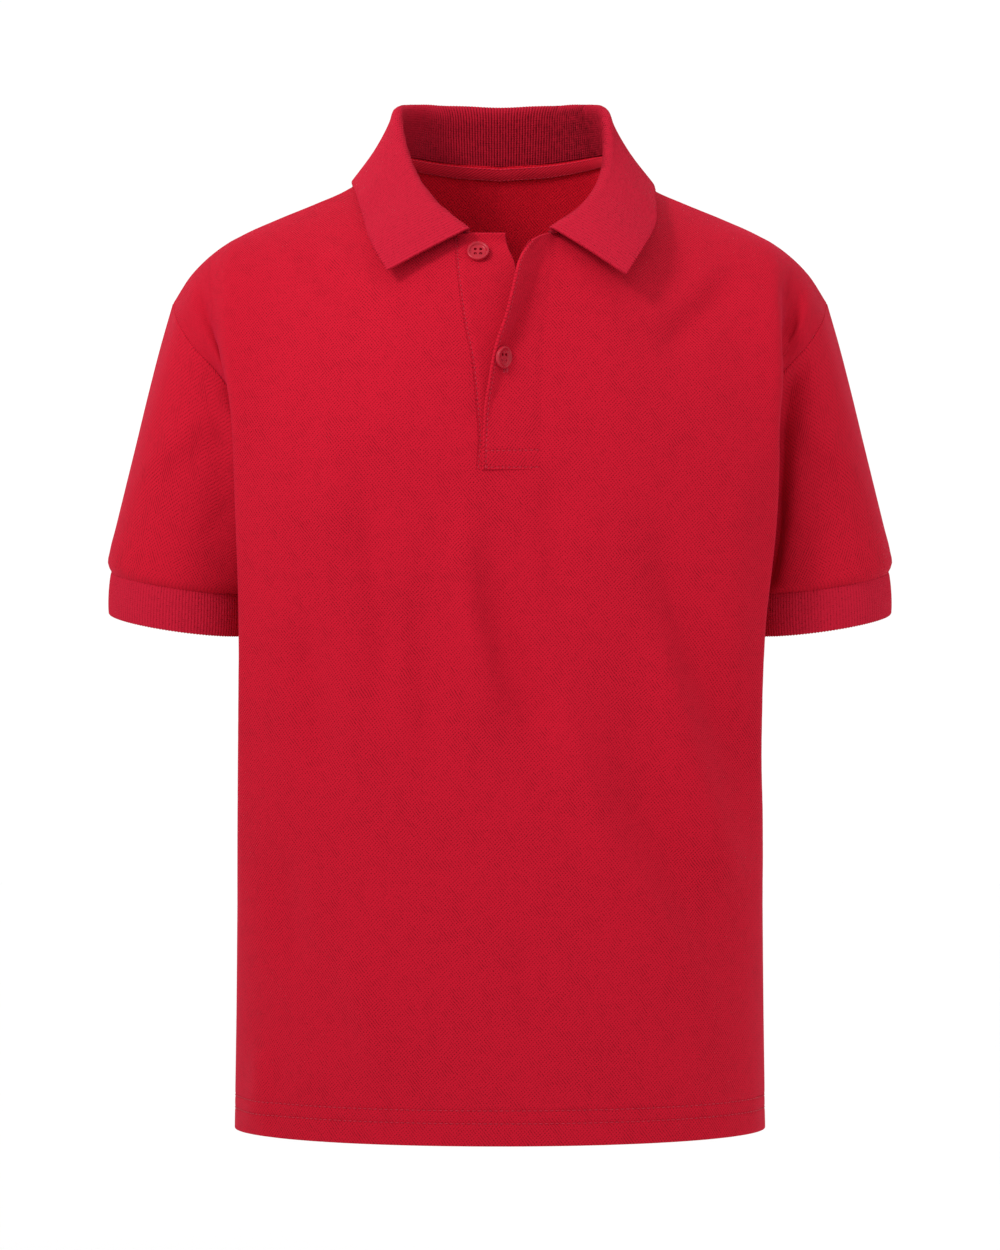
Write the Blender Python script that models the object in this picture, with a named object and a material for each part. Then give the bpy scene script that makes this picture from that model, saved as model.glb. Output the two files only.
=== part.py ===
"""A child's short-sleeved polo shirt, filled out as if worn, with nobody in it.

Every piece that a maker cuts is one closed wall of cloth: front, back, two sleeves, two ribbed
cuffs, a flat-knit collar, the two halves of the placket, the neck tape and two buttons.
Metres. +Z is up, the shirt faces -Y, and +X is the wearer's left. The origin is midway between
the shoulders, at the height where the collar's edge crosses them.
"""

import math

import bmesh
import bpy
import numpy as np
from mathutils import Matrix, Vector
from mathutils.bvhtree import BVHTree

# Walls and gaps
PIQUE = 0.0014
RIB = 0.0018
PLACKET = 0.0020
TAPE = 0.0010
SEAM_GAP = 0.0003
PLACKET_GAP = 0.0006

# Body: one row for each level, from the hem to the underarm. right and left are the visible half
# widths on the wearer's right and left, side the half width at the side seams, which the sleeves
# press in, front and back the depths, square the squareness of the section, and fold where the
# fold beside the arm begins, as a share of the way from the centre to the side seam.
LEVELS = [
    # name,         z,       right,  left,   side,   front,  back,   square, fold
    ("hem", -0.5425, 0.1522, 0.1522, 0.1520, 0.0970, 0.0920, 2.05, 0.92),
    ("hip", -0.4700, 0.1508, 0.1508, 0.1502, 0.0985, 0.0930, 2.12, 0.87),
    ("waist", -0.4050, 0.1497, 0.1497, 0.1480, 0.0992, 0.0935, 2.20, 0.79),
    ("high waist", -0.3500, 0.1485, 0.1487, 0.1446, 0.1002, 0.0937, 2.28, 0.72),
    ("rib", -0.3000, 0.1475, 0.1479, 0.1408, 0.1015, 0.0940, 2.38, 0.67),
    ("cuff", -0.2550, 0.1470, 0.1488, 0.1378, 0.1028, 0.0945, 2.46, 0.65),
    ("sleeve", -0.2150, 0.1477, 0.1535, 0.1362, 0.1036, 0.0950, 2.54, 0.64),
    ("underarm", -0.1800, 0.1492, 0.1572, 0.1350, 0.1040, 0.0950, 2.60, 0.64),
]
SIDE_SEAM_Y = 0.004
HOLLOW_WIDTH = 0.20

# Top edges of the panels, from the centre to the neck point and on to the sleeve seam
FRONT_NECK = [
    # x,      y,       z
    (0.0000, -0.0690, -0.0370),
    (0.0230, -0.0665, -0.0345),
    (0.0430, -0.0560, -0.0240),
    (0.0575, -0.0330, -0.0045),
    (0.0635, 0.0040, 0.0180),
]
BACK_NECK = [
    (0.0000, 0.0555, 0.0165),
    (0.0300, 0.0500, 0.0180),
    (0.0545, 0.0320, 0.0200),
    (0.0635, 0.0040, 0.0180),
]
SHOULDER = [
    (0.0635, 0.0040, 0.0180),
    (0.0760, 0.0040, 0.0065),
    (0.0890, 0.0040, -0.0020),
    (0.1060, 0.0040, -0.0095),
    (0.1290, 0.0040, -0.0190),
    (0.1480, 0.0040, -0.0277),
    (0.1640, 0.0040, -0.0378),
    (0.1770, 0.0040, -0.0500),
    (0.1885, 0.0040, -0.0670),
]
NECK_SHARE = 0.36  # the share of a panel's columns that end at the neckline
FOLD_SHARE = 0.735  # where, across a panel, the fold beside the arm runs
SHOULDER_REACH = [  # how far along the shoulder the other columns end
    # share, reach
    (NECK_SHARE, 0.000),
    (0.55, 0.430),
    (FOLD_SHARE, 0.755),
    (1.00, 1.000),
]
ROOF_POWER = 2.2  # how squarely a panel turns over the shoulder
NECK_ROOF = 0.88  # how much of that turn a column makes where it ends at the neckline
FULL_ROOF_SHARE = 0.60
FOLD = [
    # rise, right, left: how far out the fold stands on its way from the underarm to the shoulder
    (0.00, 0.0000, 0.0000),
    (0.25, 0.0000, 0.0010),
    (0.40, 0.0008, 0.0030),
    (0.55, 0.0026, 0.0046),
    (0.72, 0.0026, 0.0045),
    (0.86, 0.0020, 0.0035),
    (1.00, 0.0000, 0.0000),
]
ARMHOLE = [
    # rise,  out,   front,  back: share of the height and of the way out from the underarm to the
    # shoulder, and how far the seam bows to the front and back of the side seam
    (0.00, 0.000, 0.000, 0.000),
    (0.05, 0.006, 0.016, 0.015),
    (0.13, 0.020, 0.029, 0.027),
    (0.26, 0.065, 0.041, 0.038),
    (0.43, 0.190, 0.048, 0.045),
    (0.61, 0.440, 0.049, 0.046),
    (0.78, 0.770, 0.041, 0.039),
    (0.90, 0.925, 0.026, 0.025),
    (1.00, 1.000, 0.000, 0.000),
]
ARMHOLE_GAP = 0.0013
FOLD_BOW = 0.010
FOLD_VALLEY = 0.0035

# Placket, seen from the front: x and z of its lines. The wearer's left half laps over.
UNDER_SEAM = [  # where the under half is sewn to the front
    # z,       x
    (-0.1665, -0.0133),
    (-0.1500, -0.0122),
    (-0.1300, -0.0135),
    (-0.1050, -0.0160),
    (-0.0850, -0.0200),
    (-0.0600, -0.0236),
    (-0.0300, -0.0262),
]
OVER_SEAM = [  # where the upper half is sewn to the front
    (-0.1665, 0.0222),
    (-0.1300, 0.0226),
    (-0.0950, 0.0242),
    (-0.0600, 0.0288),
    (-0.0300, 0.0325),
]
UNDER_WIDTH = 0.0335
UNDER_TOP_Z = -0.0325
UNDER_CORNER = 0.0042  # how far the top corner of the under half is cut back
OVER_EDGE = [  # free edge of the upper half: place, how far it stands forward, fold line's share
    # z,      x,      lift,   fold
    (-0.1665, -0.0100, 0.0000, 0.97),
    (-0.1502, -0.0096, 0.0004, 0.95),
    (-0.1306, -0.0085, 0.0025, 0.88),
    (-0.1170, -0.0062, 0.0050, 0.80),
    (-0.1046, -0.0039, 0.0078, 0.68),
    (-0.0950, -0.0014, 0.0095, 0.66),
    (-0.0830, 0.0028, 0.0112, 0.60),
    (-0.0696, 0.0062, 0.0132, 0.45),
    (-0.0582, 0.0088, 0.0142, 0.20),
    (-0.0510, 0.0104, 0.0138, 0.10),
    (-0.0443, 0.0139, 0.0115, 0.05),
]
OVER_TOP_Z = -0.0338  # top of the upper half at its seam
OVER_TOP_BOW = 0.0042
PLACKET_FOOT = -0.1665
LAP = 0.0024  # from the middle of one half of the placket to the middle of the other

# Sleeve and cuff: rings tilted as the arm hangs
CUFF_TOP = {"x": 0.1829, "y": 0.0060, "z": -0.2272, "wide": 0.0408, "deep": 0.0420}
CUFF_FOOT = {"x": 0.1838, "y": 0.0060, "z": -0.2515, "wide": 0.0415, "deep": 0.0425}
CUFF_TILT_OUT, CUFF_TILT_FRONT = 0.14, 0.12
SLEEVE_LEVELS = [
    # along, stand, out: how far down from the armhole to the cuff, how far the cloth stands out
    # all round, and how much more it does so on the side away from the body
    (0.00, 0.0000, 0.0000),
    (0.16, 0.0004, 0.0014),
    (0.34, 0.0009, 0.0020),
    (0.52, 0.0014, 0.0020),
    (0.70, 0.0019, 0.0019),
    (0.84, 0.0024, 0.0016),
    (0.925, 0.0028, 0.0013),
    (0.975, 0.0022, 0.0009),
    (1.00, 0.0002, 0.0000),
]
UNDERARM_CLEAR = 0.0034

# Collar: one row for each section, given by its seam, the top of its roll and its outer edge, and
# by how far the fall bows out between the roll and the edge
COLLAR_BACK = ("centre back", (0, 0.0555, 0.0165), (0, 0.0575, 0.0518), (0, 0.0745, 0.0060), 0.0015)
COLLAR_LEFT = [
    # name,        seam x, y, z,                 roll x, y, z,                edge x, y, z,  bow
    ("quarter", (0.0300, 0.0500, 0.0180), (0.0325, 0.0505, 0.0522), (0.0405, 0.0680, 0.0050), 0.0010),
    ("side back", (0.0545, 0.0320, 0.0200), (0.0535, 0.0280, 0.0500), (0.0725, 0.0430, 0.0045), -0.0008),
    ("side", (0.0635, 0.0040, 0.0180), (0.0592, -0.0010, 0.0430), (0.0868, 0.0030, 0.0030), -0.0020),
    ("side front", (0.0610, -0.0190, 0.0055), (0.0600, -0.0210, 0.0190), (0.0885, -0.0350, -0.0150), -0.0005),
    ("front side", (0.0545, -0.0400, -0.0105), (0.0556, -0.0430, -0.0010), (0.0868, -0.0560, -0.0280), 0.0005),
    ("front", (0.0430, -0.0560, -0.0240), (0.0440, -0.0605, -0.0178), (0.0798, -0.0755, -0.0415), 0.0014),
    ("front end", (0.0280, -0.0650, -0.0325), (0.0280, -0.0715, -0.0300), (0.0700, -0.0925, -0.0575), 0.0014),
]
COLLAR_RIGHT = [
    ("quarter", (-0.0300, 0.0500, 0.0180), (-0.0325, 0.0505, 0.0522), (-0.0405, 0.0680, 0.0050), 0.0010),
    ("side back", (-0.0545, 0.0320, 0.0200), (-0.0530, 0.0280, 0.0500), (-0.0715, 0.0430, 0.0045), -0.0008),
    ("side", (-0.0635, 0.0040, 0.0180), (-0.0578, -0.0010, 0.0430), (-0.0842, 0.0030, 0.0040), -0.0018),
    ("side front", (-0.0605, -0.0190, 0.0055), (-0.0535, -0.0210, 0.0200), (-0.0812, -0.0300, -0.0085), -0.0004),
    ("front side", (-0.0510, -0.0400, -0.0105), (-0.0450, -0.0410, -0.0010), (-0.0768, -0.0510, -0.0235), 0.0004),
    ("front", (-0.0360, -0.0575, -0.0255), (-0.0325, -0.0595, -0.0175), (-0.0722, -0.0700, -0.0380), 0.0012),
    ("front end", (-0.0180, -0.0665, -0.0325), (-0.0168, -0.0720, -0.0304), (-0.0630, -0.0860, -0.0548), 0.0012),
]
ROLL_RADIUS = 0.0024
COLLAR_LIFT = 0.0019  # from the neckline to the collar's own edge

NECK_TAPE = {"width": 0.0088, "below": -0.0006, "short": 0.0030, "off": 0.0008}

BUTTON = {"radius": 0.0063, "thick": 0.0024, "rim": 0.0011, "well": 0.0008, "hole": 0.00075,
          "spread": 0.00125}
BUTTON_TOP = {"x": -0.0123, "z": -0.0449}
BUTTON_LOW = {"across": 0.74, "z": -0.1065}

RED = (0.58, 0.014, 0.035)
BUTTON_RED = (0.62, 0.045, 0.06)

# Mesh: rows up the body, columns across half a panel, points along and across the collar
UPPER_ROWS = 12
PANEL_SHARES = (0, 0.06, 0.12, 0.18, 0.24, 0.30, 0.36, 0.46, 0.55, 0.63, 0.69, 0.735, 0.78, 0.83,
                0.89, 0.945, 1)
FORM_ROWS, FORM_COLUMNS = 60, 81
COLLAR_COLUMNS = 37
COLLAR_ACROSS = (0, 0.15, 0.29, 0.36, 0.43, 0.52, 0.66, 0.83, 1)
FALL_FROM = 0.45
COLLAR_OFF = 0.0026


def smooth_step(t):
    t = np.clip(t, 0, 1)
    return t * t * (3 - 2 * t)


def smooth_through(knots, values, at):
    """A smooth curve through values at knots, read at the places in at."""
    knots, values = np.asarray(knots, float), np.asarray(values, float)
    at = np.clip(np.asarray(at, float), knots[0], knots[-1])
    slopes = np.gradient(values, knots, axis=0)
    i = np.clip(np.searchsorted(knots, at, side="right") - 1, 0, len(knots) - 2)
    step = knots[i + 1] - knots[i]
    t = (at - knots[i]) / step
    if values.ndim > 1:
        step, t = step[..., None], t[..., None]
    return (
        (1 + 2 * t) * (1 - t) ** 2 * values[i]
        + t * (1 - t) ** 2 * step * slopes[i]
        + t * t * (3 - 2 * t) * values[i + 1]
        + t * t * (t - 1) * step * slopes[i + 1]
    )


def arc_shares(points):
    """How far along a line of points each one lies, from 0 to 1."""
    steps = np.linalg.norm(np.diff(points, axis=0), axis=1)
    along = np.concatenate([[0], np.cumsum(steps)])
    return along / along[-1]


def along_line(points, shares):
    """Points at the given shares of a line's length."""
    known = arc_shares(points)
    return np.stack([np.interp(shares, known, points[:, k]) for k in range(3)], axis=-1)


def along_edge(rows, shares):
    """Points at the given shares of the smooth edge through the rows of a table."""
    rows = np.asarray(rows, float)
    fine = smooth_through(arc_shares(rows), rows, np.linspace(0, 1, 81))
    return along_line(fine, shares)


def level_at(z):
    """The body's sizes at a height, between the rows of LEVELS."""
    heights = [row[1] for row in LEVELS]
    sizes = [row[2:] for row in LEVELS]
    names = ("right", "left", "side", "front", "back", "square", "fold")
    return dict(zip(names, smooth_through(heights, sizes, z)))


def half_section(z, side, face, shares):
    """x and y across half a panel, from its centre to the side seam, at one height."""
    level = level_at(z)
    width = level["left"] if side > 0 else level["right"]
    reach = level["front"] + SIDE_SEAM_Y if face < 0 else level["back"] - SIDE_SEAM_Y
    angle = np.linspace(0, math.pi / 2, 121)
    x = np.sin(angle) ** (2 / level["square"])
    y = np.cos(angle) ** (2 / level["square"]) * reach
    share = arc_shares(np.stack([x * width, y, 0 * x], axis=1))
    press = smooth_step((share - level["fold"]) / min(HOLLOW_WIDTH, 1 - level["fold"]))
    full = width
    for _ in range(12):  # widened until the fold beside the arm is as far out as the table says
        full += width - (x * full - press * (full - level["side"])).max()
    x = x * full - press * (full - level["side"])
    return side * np.interp(shares, share, x), SIDE_SEAM_Y + face * np.interp(shares, share, y)


def top_edge(side, face, shares):
    """The neckline and shoulder of half a panel, in the panel's own columns."""
    neck = along_edge(FRONT_NECK if face < 0 else BACK_NECK, np.clip(shares / NECK_SHARE, 0, 1))
    known, reach = np.array(SHOULDER_REACH).T
    shoulder = along_edge(SHOULDER, smooth_through(known, reach, shares))
    edge = np.where((shares < NECK_SHARE)[:, None], neck, shoulder)
    return edge * np.array([side, 1, 1])


def roof(rise):
    """How far a panel has turned over the shoulder at a share of its height."""
    return 1 - (1 - np.clip(rise, 0, 1) ** ROOF_POWER) ** (1 / ROOF_POWER)


def half_form(side, face, shares, heights, upper):
    """Points of half a panel: rows at the heights below the arm, then rows up to the shoulder."""
    shares = np.asarray(shares, float)
    rows = []
    for z in heights:
        x, y = half_section(z, side, face, shares)
        rows.append(np.stack([x, y, np.full_like(x, z)], axis=1))
    start, end = rows[-1], top_edge(side, face, shares)
    arm = np.clip((shares - FOLD_SHARE) / (1 - FOLD_SHARE), 0, 1)
    beside = smooth_step((shares - 0.55) / (FOLD_SHARE - 0.55)) - arm
    turn = np.interp(shares, [NECK_SHARE, FULL_ROOF_SHARE], [NECK_ROOF, 1])
    fold_rise, fold_table = np.array(FOLD)[:, 0], np.array(FOLD)[:, 2 if side > 0 else 1]
    risen, table = np.array(ARMHOLE)[:, 0], np.array(ARMHOLE)[:, 1:]
    dense = []
    for rise in (1 - np.cos(np.linspace(0, math.pi, 81))) / 2:
        out, *bows = smooth_through(risen, table, rise)
        x = start[:, 0] + (end[:, 0] - start[:, 0]) * (rise * (1 - arm) + out * arm)
        x += side * beside * smooth_through(fold_rise, fold_table, rise)
        over = roof(rise * turn) / roof(turn)
        y = start[:, 1] + (end[:, 1] - start[:, 1]) * over
        y += face * arm * bows[0 if face < 0 else 1]
        y += face * beside * FOLD_BOW * math.sin(math.pi * rise)
        dip = np.exp(-(((shares - FOLD_SHARE - 0.07) / 0.04) ** 2))
        y -= face * dip * FOLD_VALLEY * smooth_step((rise - 0.35) / 0.3) * smooth_step((0.97 - rise) / 0.2)
        z = start[:, 2] + (end[:, 2] - start[:, 2]) * rise
        dense.append(np.stack([x, y, z], axis=1))
    dense = np.array(dense)
    steps = np.linspace(0, 1, upper + 1)[1:]
    columns = [along_line(dense[:, k], steps) for k in range(len(shares))]
    return np.concatenate([np.array(rows), np.stack(columns, axis=1)])


def full_form(face, shares, heights=tuple(row[1] for row in LEVELS), upper=UPPER_ROWS):
    """Points of a whole panel, from the wearer's right to the left."""
    right = half_form(-1, face, shares, heights, upper)
    left = half_form(1, face, shares, heights, upper)
    return np.concatenate([right[:, :0:-1], left], axis=1)


FORM = full_form(-1, np.linspace(0, 1, FORM_COLUMNS),
                 np.linspace(LEVELS[0][1], LEVELS[-1][1], FORM_ROWS), FORM_ROWS)


def front_depth(x, z):
    """y of the front's middle surface at a place seen from the front."""
    at_x = [(np.interp(x, row[:, 0], row[:, 2]), np.interp(x, row[:, 0], row[:, 1])) for row in FORM]
    heights, depths = zip(*at_x)
    return float(np.interp(z, heights, depths))


def front_point(x, z, forward=0.0):
    """A point a little in front of the front's surface, moved out along its normal."""
    step = 0.002
    slope_x = (front_depth(x + step, z) - front_depth(x - step, z)) / (2 * step)
    slope_z = (front_depth(x, z + step) - front_depth(x, z - step)) / (2 * step)
    normal = np.array([slope_x, -1, slope_z])
    return np.array([x, front_depth(x, z), z]) + normal / np.linalg.norm(normal) * forward


def seam_x(table, z):
    heights, places = zip(*table)
    return smooth_through(heights, places, z)


def cloth(name, grid, thickness, colour=RED, keep=None, around=False):
    """One closed wall of cloth round a grid of points. keep marks the cells that have cloth."""
    rows, columns = grid.shape[:2]
    mesh = bmesh.new()
    points = [[mesh.verts.new(point) for point in row] for row in grid]
    for i in range(rows - 1):
        for j in range(columns if around else columns - 1):
            if keep is None or keep[i][j]:
                k = (j + 1) % columns
                mesh.faces.new((points[i][j], points[i][k], points[i + 1][k], points[i + 1][j]))
    bmesh.ops.delete(mesh, geom=[v for v in mesh.verts if not v.link_faces], context="VERTS")
    bmesh.ops.recalc_face_normals(mesh, faces=mesh.faces)
    data = bpy.data.meshes.new(name)
    mesh.to_mesh(data)
    mesh.free()
    part = bpy.data.objects.new(name, data)
    bpy.context.scene.collection.objects.link(part)
    wall = part.modifiers.new("wall", "SOLIDIFY")
    wall.thickness = thickness
    wall.offset = 0
    wall.use_even_offset = True
    wall.use_quality_normals = True
    data.shade_smooth()
    part.data.materials.append(material(name, colour))
    return part


def material(name, colour):
    made = bpy.data.materials.new(name)
    made.use_nodes = True
    shader = made.node_tree.nodes["Principled BSDF"]
    shader.inputs["Base Color"].default_value = (*colour, 1)
    shader.inputs["Roughness"].default_value = 0.85
    shader.inputs["Metallic"].default_value = 0
    made.diffuse_color = (*colour, 1)
    return made


def pull_back(grid, edge, distance):
    """Shortens a grid of points along one edge: bottom, top, first or last."""
    line, inner = {
        "bottom": (np.s_[0], np.s_[1]),
        "top": (np.s_[-1], np.s_[-2]),
        "first": (np.s_[:, 0], np.s_[:, 1]),
        "last": (np.s_[:, -1], np.s_[:, -2]),
    }[edge]
    way = grid[inner] - grid[line]
    grid[line] += way / np.linalg.norm(way, axis=-1, keepdims=True) * distance


def trim(grid):
    """Leaves the seam allowance off a panel at its shoulders and sides."""
    pull_back(grid, "first", SEAM_GAP * 0.7)
    pull_back(grid, "last", SEAM_GAP * 0.7)
    pull_back(grid, "top", SEAM_GAP * 2)


def make_front():
    """The front, with the opening that the placket fills cut out of it."""
    sides = []
    full = full_form(-1, np.linspace(0, 1, FORM_COLUMNS))
    middle = FORM_COLUMNS - 1
    for side, table in ((-1, UNDER_SEAM), (1, OVER_SEAM)):
        half = full[:, middle::-1] if side < 0 else full[:, middle:]
        rows = []
        for row in half:
            past = side * (row[:, 0] - seam_x(table, row[:, 2]))
            first = np.interp(0, past, np.linspace(0, 1, len(row)))
            shares = np.array(PANEL_SHARES)
            beyond = first + (NECK_SHARE - first) * shares / NECK_SHARE
            wanted = np.where(shares < NECK_SHARE, beyond, shares)
            known = np.linspace(0, 1, len(row))
            rows.append(np.stack([np.interp(wanted, known, row[:, k]) for k in range(3)], axis=1))
        sides.append(np.array(rows))
    right, left = sides
    foot = int(np.argmin(abs(right[:, 0, 2] - PLACKET_FOOT)))
    for half in sides:
        half[foot, 0, 2] = PLACKET_FOOT
        half[foot, 0, 1] = front_depth(half[foot, 0, 0], PLACKET_FOOT)
    between = []
    for row_right, row_left in zip(right, left):
        xs = np.linspace(row_right[0, 0], row_left[0, 0], 5)[1:-1]
        zs = np.linspace(row_right[0, 2], row_left[0, 2], 5)[1:-1]
        between.append([[x, front_depth(x, z), z] for x, z in zip(xs, zs)])
    grid = np.concatenate([right[:, ::-1], np.array(between), left], axis=1)
    trim(grid)
    opening = range(len(PANEL_SHARES) - 1, len(PANEL_SHARES) + 3)
    keep = [[not (i >= foot and j in opening) for j in range(grid.shape[1] - 1)]
            for i in range(grid.shape[0] - 1)]
    return cloth("front", grid, PIQUE, keep=keep)


def make_back():
    grid = full_form(1, PANEL_SHARES)
    trim(grid)
    return cloth("back", grid, PIQUE)


def ring(sizes, side, turns, grow=0.0):
    """A tilted oval that an arm passes through; turn 0 is beside the body, and 0.25 in front."""
    angle = np.asarray(turns) * 2 * math.pi
    out = -np.cos(angle) * (sizes["wide"] + grow)
    deep = -np.sin(angle) * (sizes["deep"] + grow)
    z = sizes["z"] + out * CUFF_TILT_OUT + deep * CUFF_TILT_FRONT
    return np.stack([side * (sizes["x"] + out), sizes["y"] + deep, z], axis=1)


def armhole(side):
    """Where a sleeve is sewn on, from the underarm up the front and down the back."""
    halves = []
    for face in (-1, 1):
        edge = half_form(side, face, [FOLD_SHARE, 1.0], [LEVELS[-1][1]], UPPER_ROWS)[:, -1]
        halves.append(edge if face < 0 else edge[::-1])
    return np.concatenate([halves[0][:-1], halves[1][:-1]])


def make_sleeve(name, side):
    start = armhole(side)
    turns = np.arange(len(start)) / len(start)
    start[:, 0] += side * UNDERARM_CLEAR * np.cos(turns * math.pi) ** 4
    rows = []
    for along, stand, out in SLEEVE_LEVELS:
        row = start + (ring(CUFF_TOP, side, turns, stand) - start) * along
        row[:, 0] += side * out * np.sin(turns * math.pi) ** 2
        rows.append(row)
    grid = np.array(rows)
    pull_back(grid, "bottom", ARMHOLE_GAP)
    pull_back(grid, "top", SEAM_GAP * 2)
    return cloth(name, grid, PIQUE, around=True)


def make_cuff(name, side):
    turns = np.arange(UPPER_ROWS * 2) / (UPPER_ROWS * 2)
    top, foot = ring(CUFF_TOP, side, turns), ring(CUFF_FOOT, side, turns)
    grid = np.array([top + (foot - top) * share for share in np.linspace(0, 1, 3)])
    pull_back(grid, "bottom", SEAM_GAP * 1.5)
    return cloth(name, grid, RIB, around=True)


def collar_section(seam, roll, edge, bow, shares):
    """One section of the collar: up the stand, over the roll and down the fall."""
    seam, roll, edge = (np.array(point, float) for point in (seam, roll, edge))
    up = roll - (seam + edge) / 2
    up /= np.linalg.norm(up)
    out = edge - seam
    out -= up * out.dot(up)
    out /= np.linalg.norm(out)
    stand = np.linalg.norm(roll - seam)
    radius = min(ROLL_RADIUS, stand * 0.35)
    inner = roll - up * radius - out * radius
    outer = roll - up * radius + out * radius
    foot = seam + up * min(COLLAR_LIFT, stand / 3)
    shoulder = outer + (edge - outer) * 0.12 + out * bow * 0.5
    middle = (outer + edge) / 2 + out * bow
    rows = np.array([foot, (foot + inner) / 2 - out * 0.0005, inner, roll, outer, shoulder, middle, edge])
    return along_line(smooth_through(arc_shares(rows), rows, np.linspace(0, 1, 121)), shares)


def collar_lines():
    """The collar's seam, roll and edge, from the wearer's right front to the left front."""
    rows = [*COLLAR_RIGHT[::-1], COLLAR_BACK, *COLLAR_LEFT]
    lines = [np.array([row[k] for row in rows], float) for k in (1, 2, 3, 4)]
    return arc_shares(lines[1]), lines


def over_body(points, beneath, least):
    """Points moved out until each is at least this far above the cloth beneath it."""
    tree = BVHTree.FromPolygons(*beneath)
    moved = []
    for point in points:
        near, normal, _, _ = tree.find_nearest(Vector(point))
        above = (Vector(point) - near).dot(normal)
        moved.append(np.array(Vector(point) + normal * max(least - above, 0.0)))
    return moved


def faces_of(grids):
    """The points and faces of grids of points, all facing out of the shirt."""
    points, faces = [], []
    for grid in grids:
        base, (rows, columns) = len(points), grid.shape[:2]
        points += [tuple(point) for point in grid.reshape(-1, 3)]
        for i in range(rows - 1):
            for j in range(columns - 1):
                a, b, c, d = (base + i * columns + j, base + i * columns + j + 1,
                              base + (i + 1) * columns + j + 1, base + (i + 1) * columns + j)
                middle = sum(np.array(points[k]) for k in (a, b, c, d)) / 4
                normal = np.cross(np.array(points[c]) - points[a], np.array(points[d]) - points[b])
                out = middle - (0, SIDE_SEAM_Y, min(middle[2], -0.06))
                faces.append((a, b, c, d) if normal.dot(out) > 0 else (d, c, b, a))
    return points, faces


def make_collar():
    knots, lines = collar_lines()
    along = np.linspace(0, 1, COLLAR_COLUMNS)
    sections = zip(*(smooth_through(knots, line, along) for line in lines))
    grid = np.array([collar_section(*section, COLLAR_ACROSS) for section in sections])
    body = faces_of([full_form(face, PANEL_SHARES) for face in (-1, 1)])
    fall = [k for k, share in enumerate(COLLAR_ACROSS) if share > FALL_FROM]
    for section in grid:
        section[fall] = over_body(section[fall], body, COLLAR_OFF)
    return cloth("collar", grid, RIB)


def make_placket_under():
    """The half with the buttons, flush with the front at its seam and behind at its free edge."""
    rows = []
    shares = np.linspace(0, 1, 7)
    for height in np.linspace(0, 1, 14):
        row = []
        for share in shares:
            low = PLACKET_FOOT + PLACKET_GAP
            z = low + (UNDER_TOP_Z - low) * height
            x = seam_x(UNDER_SEAM, z) + PLACKET_GAP
            width = UNDER_WIDTH - UNDER_CORNER * float(smooth_step((z + 0.052) / 0.017))
            x += (width - PLACKET_GAP) * share
            row.append(front_point(x, z, -LAP * share))
        rows.append(row)
    return cloth("placket_under", np.array(rows), PLACKET)


def over_point(across, height, extra=0.0):
    """A point of the upper half: across 0 is its seam, 0.5 its valley and 1 its free edge."""
    table = np.array(OVER_EDGE)
    foot = PLACKET_FOOT + PLACKET_GAP
    z_edge = foot + (table[-1, 0] - foot) * height
    z_seam = foot + (OVER_TOP_Z - foot) * height
    x_edge, lift, fold = smooth_through(table[:, 0], table[:, 1:], z_edge)
    x_seam = seam_x(OVER_SEAM, z_seam) - PLACKET_GAP
    bend = max(across * 2 - 1, 0.0)
    share = fold * min(across * 2, 1.0) + (1 - fold) * bend
    x = x_seam + (x_edge - x_seam) * share
    z = z_seam + (z_edge - z_seam) * share + OVER_TOP_BOW * 4 * share * (1 - share) * height**6
    return front_point(x, z, LAP * share + extra) - np.array([0, lift * bend, 0])


def make_placket_over():
    across, up = np.linspace(0, 1, 9), np.linspace(0, 1, 15)
    grid = np.array([[over_point(a, h) for a in across] for h in up])
    return cloth("placket_over", grid, PLACKET)


def make_tape():
    """The tape over the neck seam, inside the back, made from the back's own points."""
    shares = [share for share in PANEL_SHARES if share <= NECK_SHARE]
    form = full_form(1, shares)
    columns = []
    for j in range(form.shape[1]):
        line = form[::-1, j]
        reach = np.concatenate([[0], np.cumsum(np.linalg.norm(np.diff(line, axis=0), axis=1))])
        wanted = NECK_TAPE["below"] + NECK_TAPE["width"] * np.linspace(0, 1, 3)
        columns.append(np.stack([np.interp(wanted, reach, line[:, k]) for k in range(3)], axis=1))
    grid = np.array(columns).transpose(1, 0, 2)
    for edge in ("first", "last"):
        pull_back(grid, edge, NECK_TAPE["short"])
    normal = np.cross(np.gradient(grid, axis=1), np.gradient(grid, axis=0))
    normal /= np.linalg.norm(normal, axis=-1, keepdims=True)
    normal *= -np.sign(normal[..., 1:2])
    return cloth("neck_tape", grid + normal * ((PIQUE + TAPE) / 2 + NECK_TAPE["off"]), TAPE)


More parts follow.
